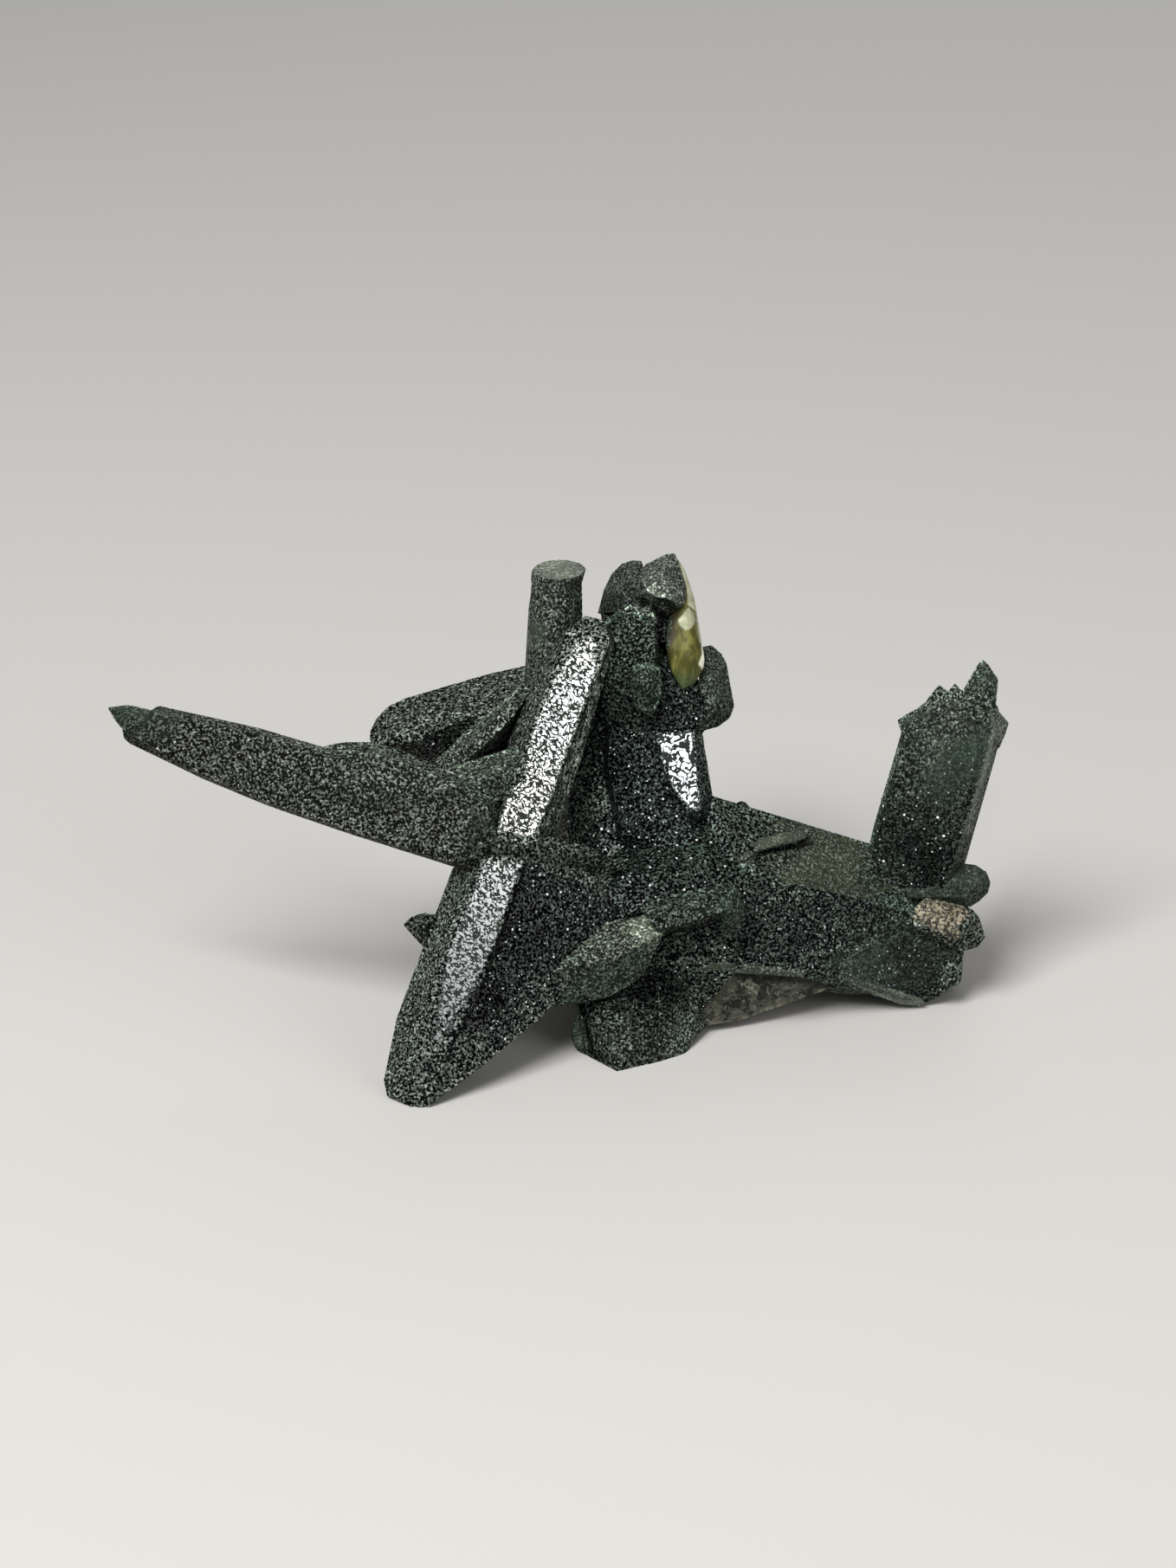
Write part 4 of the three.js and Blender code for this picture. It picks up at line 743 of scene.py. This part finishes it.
def druse(name, crystals, voxel, density):
    """One growth group: skin, relief, facets, grains and the attributes its finish reads."""
    global TOTAL
    v, q = skin(crystals, voxel)
    who = owner_of(v, crystals)
    edge, side = crisp(v, crystals, who, voxel)
    n = vertex_normals(v, q)
    u_, v_, w_ = drawn(v)
    hidden = depth_in(v, [c for c in ALL if c not in crystals])

    # Where the surface is a bare facet, and how far inside its outline.
    facet = np.full(len(v), -1.0)
    for host, outline in FACETS.get(name, []):
        p0, pn = plane_of(host)
        off = (v - p0) @ pn
        near = (np.abs(off) < 0.28) & (n @ pn > 0.6) & (depth_in(v, [c for c in crystals if c != host]) < 0.12)
        s = inside_by(u_, v_, outline)
        facet[near] = np.maximum(facet[near], np.clip(s[near], -1, 1))
        flat = near & (s > -0.35)
        v[flat] -= pn * off[flat][:, None]
        n[flat] = pn
    fade = np.zeros(len(v))
    if name == "rear_crystals":
        bare = (side * 7 % 9 < 2) & (n[:, 2] > -0.2) & (n[:, 1] > 0.15)
        facet = np.where(bare, np.clip(edge - 0.35 + noise(v, 1.6, 23) * 0.5, -1, 1), facet)
    if name == "spine_crystal":
        fade = smooth01(v_, 1075, 1200) * 0.95 + smooth01(792 - v_, 0, 60) * 0.90
    # Bare facet ground: palest and glossiest near the top of the strip, darker and rougher downwards, partly a painted
    # reflection.
    facet_gloss_and_sheen = np.interp(v_, [720, 770, 965, 985, 990, 1040, 1070, 1110, 1160, 1210], [0.76, 1.0, 0.88, 0.86, 0.64, 0.57, 0.50, 0.39, 0.27, 0.2])
    tint = smooth01(75 - np.hypot(u_ - 600, v_ - 925), 0, 50) * 0.9 + 0.6 * smooth01(790 - v_, 0, 50) + 0.25 * smooth01(1050 - v_, 0, 60)
    if name != "spine_crystal":
        facet_gloss_and_sheen[:], tint[:] = 0.7 if name == "rear_crystals" else 1.0, 0.1
    calm = np.clip((facet - fade) / 0.25 + 0.6, 0, 1)
    stain = np.full(len(v), -1.0)
    if name == "stained_broken_end":
        stain = np.where(n[:, 1] < 0.25, np.clip(inside_by(u_, v_, STAIN), -1, 1), -1.0)

    table = np.array([CRUST.get(c, (0.85, 0.45, 0.4, 1.0)) + (WARM.get(c, 0.2), DROPS.get(c, 0.15)) for c in crystals])
    tone_and_painted_light, green, spark, coarse, warm, drop = table[who].T.copy()
    # Painted light and shade by the way each face turns.
    for hosts, way, limit, factor, rough_there, green_there, warm_there, spark_there, drop_there in FACES:
        way = np.array(way) / np.linalg.norm(way)
        at = np.isin(who, [crystals.index(h) for h in hosts if h in crystals]) & (n @ way > limit)
        if hosts[0] in RAGGED:
            at &= edge > 0.15 + noise(v, 1.1, 41) * 0.9
        tone_and_painted_light[at] *= factor
        coarse[at] = np.minimum(coarse[at], rough_there)
        green[at], warm[at], spark[at], drop[at] = green_there, warm_there, spark_there, drop_there
    streak = np.zeros(len(v))
    for hosts, way, limit, share in STREAKED:
        way = np.array(way) / np.linalg.norm(way)
        streak[np.isin(who, [crystals.index(h) for h in hosts if h in crystals]) & (n @ way > limit)] = share
    for host, pu, pv, radius, factor, greener, smoother in PATCHES:
        if host in crystals:
            far = np.hypot(u_ - pu, v_ - pv) / radius + noise(v, 2.2, 17) * 0.25
            share = smooth01(1.15 - far, 0, 0.8) * (who == crystals.index(host))
            tone_and_painted_light *= 1 + (factor - 1) * share
            green = np.clip(green + greener * share, 0, 1)
            coarse = np.clip(coarse - smoother * share, 0.2, 1.1)
    for hosts, run, half, factor in LINES:
        here = np.isin(who, [crystals.index(h) for h in hosts if h in crystals])
        if here.any():
            share = smooth01(1 - beside(u_, v_, run) / half, 0, 0.7) * here
            tone_and_painted_light *= 1 + (factor - 1) * share
            if factor < 0.55:
                spark, drop = spark * (1 - share), drop * (1 - share)
    # Painted shade: the core's faces that turn away from the front are darkened and get fewer bright grains.
    if name == "core_crystals":
        turned = smooth01(n[:, 1], -0.40, 0.0) * (who == crystals.index("core"))
        tone_and_painted_light, drop, spark = tone_and_painted_light * (1 - 0.45 * turned), drop * (1 - 0.75 * turned), spark * (1 - 0.5 * turned)
    if name == "upright_crystal":
        drop = drop + 0.34 * smooth01(v_, 880, 960) * (who == crystals.index("upright"))
    rng = np.random.default_rng(len(name) * 7 + 5)
    rough = coarse * (1 - calm) * (1 - 0.8 * smooth01(0.3 - edge, 0, 0.3))
    wave = noise(v, 3.6, 3) * 0.026 + noise(v, 1.4, 5) * 0.015
    peak = noise(v, 0.38, 9) * 0.018 + rng.uniform(-1, 1, len(v)) * 0.016 - 0.010
    # up: how far the surface faces upwards, which the crust turns into painted light, lighter on top and darker
    # underneath
    up = n[:, 2].copy()
    v = v + n * (wave * np.minimum(rough + 0.15, 1) * (1 - calm) + (peak - 0.03) * rough)[:, None] + rng.normal(size=v.shape) * 0.014 * rough[:, None]
    v[:, 2] = np.maximum(v[:, 2], 0.0)

    # Separate grains sown on what shows.
    tri = np.concatenate([q[:, [0, 1, 2]], q[:, [0, 2, 3]]])
    a = np.linalg.norm(np.cross(v[tri[:, 1]] - v[tri[:, 0]], v[tri[:, 2]] - v[tri[:, 0]]), axis=1) / 2
    show = (hidden[tri].max(1) < 0.05) & (calm[tri].max(1) < 0.5) & (v[tri][:, :, 2].min(1) > 0.15)
    want = a * show * density * smooth01(coarse[tri].mean(1), 0.15, 0.85)
    count = int(want.sum())
    pick = rng.choice(len(tri), count, p=want / want.sum())
    r1, r2 = np.sqrt(rng.random(count)), rng.random(count)
    t = tri[pick]
    at = v[t[:, 0]] * (1 - r1)[:, None] + v[t[:, 1]] * (r1 * (1 - r2))[:, None] + v[t[:, 2]] * (r1 * r2)[:, None]
    gn = n[t[:, 0]]
    size = 0.11 * np.exp(rng.normal(size=count) * 0.3)
    gv, gf = spikes(at, gn, size, rng)
    gv[:, 2] = np.maximum(gv[:, 2], 0.0)

    def both(base, sown):
        return np.concatenate([base, np.repeat(sown, 4)])

    g0 = t[:, 0]
    shine = rng.random(count)
    me = build_mesh(name, np.concatenate([v, gv]), q, gf + len(v), calm[q].min(1) > 0.9, {
        "facet": both(facet, np.full(count, -1.0)),
        "stain": both(stain, stain[g0]),
        # The crust's lightness here includes the painted light and shade of the tables above.
        "tone_and_painted_light": both(tone_and_painted_light, tone_and_painted_light[g0] * rng.uniform(0.8, 1.3, count)),
        "green": both(green, green[g0]),
        "spark": both(spark, spark[g0]),
        "warm": both(warm, warm[g0]),
        "streak": both(streak, streak[g0]),
        "drop": both(drop, drop[g0]),
        "edge": both(smooth01(0.24 - edge, 0, 0.24) * np.array([EDGES.get(c, 0.5) for c in crystals])[who], np.zeros(count)),
        "coarse": both(coarse, coarse[g0]),
        "facet_gloss_and_sheen": both(facet_gloss_and_sheen, facet_gloss_and_sheen[g0]),
        "fade": both(fade, fade[g0]),
        "tint": both(tint, tint[g0]),
        "up": both(up, up[g0]),
        "grain": both(np.zeros(len(v)), 0.2 + 0.8 * shine * (0.75 + 0.5 * spark[g0]).clip(0, 1)),
    })
    ob = bpy.data.objects.new(name, me)
    bpy.context.scene.collection.objects.link(ob)
    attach(ob, "root")
    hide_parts("crystal_cluster")
    TOTAL += len(q) * 2 + len(gf)
    print(name, "quads", len(q), "grains", count, "tris", len(q) * 2 + len(gf), "area", round(a.sum()), "shown", round((a * show).sum()))
    return ob


# ---------------------------------------------------------------- finishes
class Web:
    """Small helpers to wire one material."""

    def __init__(self, name):
        self.mat = bpy.data.materials.new(name)
        self.mat.use_nodes = True
        self.nt = self.mat.node_tree
        self.bsdf = self.nt.nodes["Principled BSDF"]
        self.step = 0
        coord = self.new("ShaderNodeTexCoord")
        scale = self.new("ShaderNodeMapping")
        scale.inputs["Scale"].default_value = (1000, 1000, 1000)
        self.link(coord.outputs["Object"], scale.inputs["Vector"])
        self.mm = scale.outputs[0]

    def new(self, kind):
        n = self.nt.nodes.new(kind)
        n.location = (-2400 + 180 * (self.step % 12), 900 - 240 * (self.step // 12))
        self.step += 1
        return n

    def link(self, a, b):
        self.nt.links.new(a, b)

    def put(self, sock, x):
        if isinstance(x, (int, float)):
            sock.default_value = x
        elif isinstance(x, tuple):
            sock.default_value = (*x, 1) if len(x) == 3 and sock.type == "RGBA" else x
        else:
            self.link(x, sock)

    def noise(self, size, detail=1.0, distortion=0.0, vector=None):
        t = self.new("ShaderNodeTexNoise")
        t.inputs["Scale"].default_value = 1.0 / size
        t.inputs["Detail"].default_value = detail
        t.inputs["Distortion"].default_value = distortion
        self.link(vector or self.mm, t.inputs["Vector"])
        return t.outputs["Fac"]

    def cells(self, size):
        """Distance from each cell's middle, and a random number for each cell."""
        t = self.new("ShaderNodeTexVoronoi")
        t.inputs["Scale"].default_value = 1.0 / size
        self.link(self.mm, t.inputs["Vector"])
        s = self.new("ShaderNodeSeparateColor")
        self.link(t.outputs["Color"], s.inputs[0])
        return t.outputs["Distance"], s.outputs[0]

    def ramp(self, x, lo, hi, a=0.0, b=1.0):
        r = self.new("ShaderNodeMapRange")
        r.interpolation_type = "SMOOTHSTEP"
        self.put(r.inputs["Value"], x)
        for k, value in (("From Min", lo), ("From Max", hi), ("To Min", a), ("To Max", b)):
            self.put(r.inputs[k], value)
        return r.outputs["Result"]

    def mix(self, fac, a, b, kind="MIX"):
        m = self.new("ShaderNodeMix")
        m.data_type, m.blend_type = "RGBA", kind
        for sock, x in ((m.inputs[0], fac), (m.inputs[6], a), (m.inputs[7], b)):
            self.put(sock, x)
        return m.outputs[2]

    def blend(self, fac, a, b):
        m = self.new("ShaderNodeMix")
        for sock, x in ((m.inputs[0], fac), (m.inputs[2], a), (m.inputs[3], b)):
            self.put(sock, x)
        return m.outputs[0]

    def maths(self, op, a, b=0.0, c=0.0):
        m = self.new("ShaderNodeMath")
        m.operation = op
        for sock, x in zip(m.inputs, (a, b, c)):
            self.put(sock, x)
        return m.outputs[0]

    def turned(self, angle, scale):
        """Coordinates turned about the depth axis, then stretched."""
        a, b = self.new("ShaderNodeMapping"), self.new("ShaderNodeMapping")
        a.inputs["Rotation"].default_value = (0.0, angle, 0.0)
        b.inputs["Scale"].default_value = scale
        self.link(self.mm, a.inputs["Vector"])
        self.link(a.outputs[0], b.inputs["Vector"])
        return b.outputs[0]

    def line(self, x, inner, outer, middle=0.5):
        """1 on the contour of a noise at its middle value, falling to 0 beside it."""
        d = self.maths("ABSOLUTE", self.maths("SUBTRACT", x, middle))
        return self.ramp(d, inner, outer, 1.0, 0.0)

    def attr(self, label):
        n = self.new("ShaderNodeAttribute")
        n.attribute_name = label
        return n.outputs["Fac"]

    def scaled(self, colour, factor):
        m = self.new("ShaderNodeVectorMath")
        m.operation = "SCALE"
        self.put(m.inputs[0], colour)
        self.put(m.inputs["Scale"], factor)
        return m.outputs[0]

    def bump(self, height, distance):
        b = self.new("ShaderNodeBump")
        b.inputs["Strength"].default_value = 1.0
        b.inputs["Distance"].default_value = distance
        self.link(height, b.inputs["Height"])
        self.link(b.outputs[0], self.bsdf.inputs["Normal"])


def chlorite(name, facet_size=0.35, facet_line=(0.058, 0.086), facet_pale=(0.272, 0.292, 0.288), blotch=0.80, stained=False, stretch=(0.62, 1.0, 1.1)):
    """Dark green-grey crust of fine flakes, with bare quartz where the facets are, its pale ground partly a painted
    reflection of the lamps.
    """
    w = Web(name)
    w.bsdf.inputs["IOR"].default_value = 1.544
    worm = w.ramp(w.noise(0.22, 0.6, 0.4), 0.43, 0.60)
    _, each = w.cells(0.19)
    flake = w.ramp(each, 0.45, 1.0, 0.42, 2.0)
    broad = w.ramp(w.noise(3.2, 2.0), 0.32, 0.68)
    tone_and_painted_light, green, spark = w.attr("tone_and_painted_light"), w.attr("green"), w.attr("spark")
    edge, up, grain, facet = w.attr("edge"), w.attr("up"), w.attr("grain"), w.attr("facet")

    dark = w.mix(green, (0.0017, 0.0024, 0.0022), (0.0014, 0.0028, 0.0022))
    pale = w.mix(green, (0.124, 0.138, 0.114), (0.073, 0.121, 0.093))
    pale = w.mix(w.attr("warm"), pale, w.mix(1.0, pale, (1.02, 1.0, 0.74), "MULTIPLY"))
    even = w.scaled(pale, 0.27)
    pale = w.mix(w.ramp(each, 0.55, 1.0, 0.0, 0.75), pale, w.mix(green, (0.148, 0.158, 0.152), (0.112, 0.146, 0.132)))
    body = w.scaled(w.mix(worm, dark, w.scaled(pale, 0.93)), flake)
    body = w.mix(w.ramp(w.attr("coarse"), 0.25, 1.0, 0.80, 0.0), body, even)
    # lift: random blotches times the crystal's lightness, which includes painted light and shade
    lift = w.maths("MULTIPLY", w.blend(broad, 0.84, 1.16), tone_and_painted_light)
    run = w.turned(-0.40, (1.5, 1.0, 0.42))
    streak = w.ramp(w.noise(0.62, 2.0, 0.3, run), 0.42, 0.58, 0.22, 1.9)
    lift = w.maths("MULTIPLY", lift, w.blend(w.attr("streak"), 1.0, streak))
    # Painted light: crust facing up is made lighter and crust facing down darker.
    lift = w.maths("MULTIPLY", lift, w.ramp(up, 0.1, 0.95, 0.80, 1.40))
    # Painted highlight: the crust is made lighter along the crystals' edges.
    lift = w.maths("MULTIPLY", lift, w.blend(edge, 1.0, 1.7))
    body = w.scaled(body, lift)

    gap, pick = w.cells(0.36)
    chance = w.maths("ADD", pick, w.maths("MULTIPLY", spark, 0.17))
    dot = w.maths("MULTIPLY", w.ramp(gap, 0.10, 0.26, 1.0, 0.0), w.maths("GREATER_THAN", chance, 0.985))
    # glint: where drop is high the round grains turn near-white, partly a painted glint on crystals lying in shade.
    glint = w.ramp(w.attr("drop"), 0.4, 1.1)
    body = w.mix(dot, body, w.mix(glint, w.mix(spark, (0.17, 0.185, 0.18), (0.40, 0.43, 0.42)), (0.85, 0.88, 0.87)))
    gap, pick = w.cells(0.31)
    pin = w.maths("MULTIPLY", w.ramp(gap, 0.08, 0.20, 1.0, 0.0), w.maths("GREATER_THAN", w.maths("ADD", pick, w.maths("MULTIPLY", spark, 0.055)), 0.965))
    body = w.mix(w.maths("MULTIPLY", pin, w.ramp(w.attr("coarse"), 0.4, 0.9)), body, w.mix(green, (0.74, 0.77, 0.75), (0.62, 0.75, 0.69)))
    gap, pick = w.cells(0.60)
    chance = w.maths("ADD", pick, w.maths("MULTIPLY", w.attr("drop"), 0.17))
    round_ = w.maths("MULTIPLY", w.ramp(gap, w.blend(glint, 0.08, 0.16), w.blend(glint, 0.19, 0.27), 1.0, 0.0), w.maths("GREATER_THAN", chance, 0.985))
    body = w.mix(round_, body, w.mix(glint, (0.42, 0.45, 0.44), (0.97, 0.98, 0.98)))
    dot = w.maths("MAXIMUM", dot, round_)
    body = w.mix(w.ramp(grain, 0.90, 0.97), body, w.mix(glint, w.mix(spark, (0.15, 0.17, 0.16), (0.46, 0.49, 0.47)), (0.85, 0.88, 0.87)))
    if stained:
        n5 = w.noise(0.42, 1.5, 0.6)
        ground = w.mix(w.ramp(w.noise(1.3, 2.0), 0.35, 0.65), (0.175, 0.152, 0.104), (0.345, 0.312, 0.228))
        tan = w.mix(w.ramp(w.noise(0.34, 1.0, 0.5), 0.53, 0.465), ground, (0.024, 0.022, 0.015))
        tan = w.mix(w.line(n5, 0.02, 0.05), tan, (0.05, 0.047, 0.036))
        mask = w.ramp(w.maths("ADD", w.attr("stain"), w.maths("MULTIPLY", w.maths("SUBTRACT", w.noise(0.6, 2.0), 0.5), 1.0)), -0.02, 0.06)
        body = w.mix(mask, body, tan)

    n2 = w.noise(facet_size, 1.0, 0.5, w.turned(-0.785, stretch))
    thread = w.maths("MAXIMUM", w.line(n2, *facet_line), w.ramp(w.noise(facet_size * 1.7, 1.5, 0.3), blotch, blotch + 0.05))
    # The bare quartz ground is pale, partly a painted reflection of the lamps.
    ground = w.mix(w.ramp(w.noise(0.48, 2.5), 0.34, 0.66), w.scaled(facet_pale, 0.55), facet_pale)
    ground = w.mix(1.0, ground, w.mix(w.attr("tint"), (0.92, 1.0, 0.985), (1.03, 1.0, 0.80)), "MULTIPLY")
    bare = w.mix(thread, w.scaled(ground, w.attr("facet_gloss_and_sheen")), (0.017, 0.020, 0.017))
    wobble = w.maths("MULTIPLY", w.maths("SUBTRACT", w.noise(0.45, 2.0), 0.5), 0.7)
    wobble = w.maths("MULTIPLY", wobble, w.maths("ADD", w.maths("MULTIPLY", w.attr("fade"), 1.6), 1.0))
    open_ = w.ramp(w.maths("SUBTRACT", w.maths("ADD", facet, wobble), w.attr("fade")), 0.02, 0.09)
    w.put(w.bsdf.inputs["Base Color"], w.mix(open_, body, bare))
    rough_crust = w.blend(worm, 0.75, 0.36)
    rough_crust = w.blend(w.maths("MAXIMUM", dot, w.ramp(grain, 0.90, 0.97)), rough_crust, 0.16)
    w.put(w.bsdf.inputs["Roughness"], w.blend(open_, rough_crust, w.blend(thread, w.ramp(w.attr("facet_gloss_and_sheen"), 0.3, 1.0, 0.42, 0.20), 0.75)))
    shine = w.maths("MULTIPLY", w.blend(worm, 0.02, 0.32), w.ramp(tone_and_painted_light, 0.10, 0.45, 0.30, 1.0))
    shine = w.blend(w.maths("MAXIMUM", dot, w.ramp(grain, 0.90, 0.97)), shine, 0.5)
    w.put(w.bsdf.inputs["Specular IOR Level"], w.blend(open_, shine, w.blend(thread, 0.5, 0.06)))
    height = w.blend(open_, w.maths("ADD", w.maths("MULTIPLY", worm, 0.8), w.maths("MULTIPLY", flake, 0.2)), w.maths("MULTIPLY", thread, -0.22))
    w.bump(height, 0.000055)
    return w.mat


def glassy(name):
    """Smoky quartz showing bare and smooth, cloudy inside."""
    w = Web(name)
    w.bsdf.inputs["IOR"].default_value = 1.544
    tone_and_painted_light, edge = w.attr("tone_and_painted_light"), w.attr("edge")
    cloud = w.ramp(w.noise(1.9, 3.0, 1.2), 0.40, 0.62)
    swirl = w.line(w.noise(1.3, 2.5, 1.6), 0.004, 0.05)
    veil = w.ramp(w.noise(0.50, 2.0, 0.8), 0.50, 0.72)
    body = w.mix(cloud, (0.010, 0.0115, 0.0085), (0.080, 0.080, 0.058))
    body = w.mix(w.maths("MULTIPLY", swirl, 0.65), body, (0.17, 0.172, 0.135))
    body = w.mix(w.maths("MULTIPLY", veil, 0.40), body, (0.020, 0.022, 0.016))
    gap, pick = w.cells(0.62)
    bubble = w.maths("MULTIPLY", w.ramp(gap, 0.10, 0.26, 1.0, 0.0), w.maths("GREATER_THAN", w.maths("ADD", pick, w.maths("MULTIPLY", w.attr("drop"), 0.25)), 0.93))
    body = w.mix(bubble, body, (0.20, 0.215, 0.185))
    # Painted highlight along the edges, and painted light and shade from the crystal's lightness.
    body = w.scaled(body, w.maths("MULTIPLY", w.blend(edge, 1.0, 1.6), tone_and_painted_light))
    w.put(w.bsdf.inputs["Base Color"], body)
    w.put(w.bsdf.inputs["Roughness"], w.blend(veil, 0.26, 0.42))
    w.bsdf.inputs["Specular IOR Level"].default_value = 0.12
    w.bump(w.maths("ADD", w.maths("MULTIPLY", cloud, 1.0), w.maths("MULTIPLY", w.maths("MAXIMUM", bubble, swirl), 0.6)), 0.00014)
    return w.mat


FINISH = {
    "crust": chlorite("chlorite_crust"),
    # The mirror facet's pale bluish-white is partly a painted reflection of the lamps.
    "mirror": chlorite("bare_facet", 0.60, (0.060, 0.084), (0.455, 0.50, 0.545), 0.585, stretch=(1.0, 1.0, 1.0)),
    "stained": chlorite("iron_stained_crust", stained=True),
    "glassy": glassy("smoky_quartz"),
}
for name, (crystals, voxel, finish, slot, density) in GROUPS.items():
    druse(name, crystals, voxel, density).data.materials.append(FINISH[finish])

# ---------------------------------------------------------------- the clear broken end
def clear_end():
    name = "clear_broken_end"
    v, q = skin([name], 0.14)
    who = np.zeros(len(v), int)
    edge, _ = crisp(v, [name], who, 0.14)
    count = np.zeros(len(v))
    np.add.at(count, q.ravel(), 2)
    for _ in range(14):
        total = np.zeros_like(v)
        for k in range(4):
            np.add.at(total, q[:, k], v[q[:, (k + 1) % 4]] + v[q[:, (k + 3) % 4]])
        v = v * 0.4 + total / np.maximum(count, 1)[:, None] * 0.6
    n = vertex_normals(v, q)
    u, t, _ = drawn(v)
    chip = inside_by(u, t, [[795, 701], [801, 708], [803, 718], [799, 725], [792, 728], [785, 722], [783, 716], [788, 710]])
    rim = inside_by(u, t, [[775, 630], [830, 630], [830, 742], [808, 742], [805, 724], [803, 706], [794, 698], [793, 678], [783, 648]])
    wedge = inside_by(u, t, [[810, 738], [830, 738], [830, 772], [813, 775], [807, 767], [811, 756]])
    v = v + n * (noise(v * [1, 1, 0.35], 0.9, 31) * 0.015 * (1 - smooth01(chip, -0.2, 0.1)))[:, None]
    front = n[:, 1] < 0.55
    pale = np.where(front, np.maximum(smooth01(chip, -0.05, 0.05), smooth01(rim, -0.10, 0.08)), smooth01(780 - t, 0, 40) * (0.15 + 0.85 * smooth01(noise(v, 2.4, 11) + 0.25 - edge * 0.12, -0.2, 0.3)))
    white = smooth01(wedge, -0.10, 0.05)
    me = build_mesh(name, v, q, np.zeros((0, 3), np.int32), np.ones(len(q), bool), {
        "pale": pale, "white": white, "left": smooth01(786 - u - (t - 740) * 0.25, 0, 15), "low": smooth01(t, 764, 796), "under": np.maximum(smooth01(t, 780, 804), smooth01(779 - u - (t - 740) * 0.25, 0, 13) * smooth01(t, 702, 722)), "edge": smooth01(0.2 - edge, 0, 0.2),
    })
    ob = bpy.data.objects.new(name, me)
    bpy.context.scene.collection.objects.link(ob)
    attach(ob, "root")
    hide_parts("crystal_cluster")
    w = Web("clear_quartz")
    w.bsdf.inputs["IOR"].default_value = 1.544
    w.bsdf.inputs["Transmission Weight"].default_value = 0.15
    w.bsdf.inputs["Specular IOR Level"].default_value = 0.10
    squash = w.new("ShaderNodeMapping")
    squash.inputs["Scale"].default_value = (1.0, 1.0, 0.22)
    w.link(w.mm, squash.inputs["Vector"])
    streak = w.ramp(w.noise(0.55, 2.0, 0.3, squash.outputs[0]), 0.38, 0.62)
    body = w.mix(streak, (0.058, 0.055, 0.008), (0.145, 0.140, 0.030))
    body = w.mix(w.attr("left"), body, (0.026, 0.024, 0.011))
    body = w.mix(w.attr("low"), body, (0.058, 0.090, 0.034))
    speck = w.line(w.noise(0.35, 1.5, 0.5), 0.01, 0.04)
    body = w.mix(w.maths("MULTIPLY", speck, w.attr("low")), body, (0.02, 0.03, 0.012))
    cream = w.mix(w.ramp(w.noise(0.7, 3.0), 0.35, 0.65), (0.29, 0.30, 0.19), (0.45, 0.46, 0.32))
    body = w.mix(w.attr("pale"), body, cream)
    body = w.mix(w.attr("white"), body, (0.95, 0.95, 0.76))
    grown = w.ramp(w.maths("ADD", w.attr("under"), w.maths("MULTIPLY", w.maths("SUBTRACT", w.noise(0.42, 2.0), 0.5), 1.3)), 0.50, 0.62)
    crust = w.mix(w.ramp(w.noise(0.22, 0.6, 0.4), 0.43, 0.60), (0.003, 0.0045, 0.003), (0.085, 0.108, 0.076))
    body = w.mix(grown, body, crust)
    w.put(w.bsdf.inputs["Base Color"], body)
    w.put(w.bsdf.inputs["Roughness"], w.blend(grown, w.blend(w.attr("pale"), 0.50, 0.42), 0.75))
    w.bump(streak, 0.00002)
    me.materials.append(w.mat)


clear_end()
print("total", TOTAL)

# ---------------------------------------------------------------- floor, lights, camera
floor_me = bpy.data.meshes.new("floor")
floor_me.from_pydata([(-3, -3, 0), (3, -3, 0), (3, 3, 0), (-3, 3, 0)], [], [(0, 1, 2, 3)])
floor = bpy.data.objects.new("floor", floor_me)
bpy.context.scene.collection.objects.link(floor)
fm = bpy.data.materials.new("floor")
fm.use_nodes = True
fm.node_tree.nodes["Principled BSDF"].inputs["Base Color"].default_value = (0.46, 0.45, 0.43, 1)
fm.node_tree.nodes["Principled BSDF"].inputs["Roughness"].default_value = 0.8
floor_me.materials.append(fm)

TARGET = np.array([0.0, -0.002, 0.017])


def softbox(name, direction, distance, size, radiance, tint=(1, 1, 1)):
    d = np.array(direction, float)
    d /= np.linalg.norm(d)
    light = bpy.data.lights.new(name, "AREA")
    light.shape, light.size = "SQUARE", size
    light.energy = radiance * math.pi * size * size
    light.color = tint
    ob = bpy.data.objects.new(name, light)
    ob.location = TARGET + d * distance
    ob.rotation_euler = Vector(-d).to_track_quat("-Z", "Y").to_euler()
    bpy.context.scene.collection.objects.link(ob)
    return ob


softbox("key", (-0.323, -0.561, 0.76), 0.75, 0.36, 21.0, (1.0, 1.0, 1.0))
softbox("fill", (0.75, -0.60, 0.35), 0.9, 0.6, 2.5, (1.0, 1.0, 1.0))
softbox("back", (0.2, 0.8, 0.55), 0.9, 0.6, 1.2, (1.0, 1.0, 1.0))

world = bpy.data.worlds.new("studio")
bpy.context.scene.world = world
world.use_nodes = True
world.node_tree.nodes["Background"].inputs[0].default_value = (0.94, 0.94, 0.92, 1)
world.node_tree.nodes["Background"].inputs[1].default_value = 0.28

cam = bpy.data.cameras.new("camera")
cam.sensor_width, cam.lens = 36.0, UNITS * 36.0 / 1811.0
cam.clip_start, cam.clip_end = 0.01, 20.0
camera = bpy.data.objects.new("camera", cam)
camera.location = (-MIDDLE_X * 0.001, -(EYE_FRONT + MIDDLE_Y) * 0.001, EYE_UP * 0.001)
camera.rotation_euler = (math.radians(90.0) - TILT, 0, 0)
bpy.context.scene.collection.objects.link(camera)
bpy.context.scene.camera = camera
bpy.context.scene.view_settings.view_transform = "Standard"

bpy.context.view_layer.update()
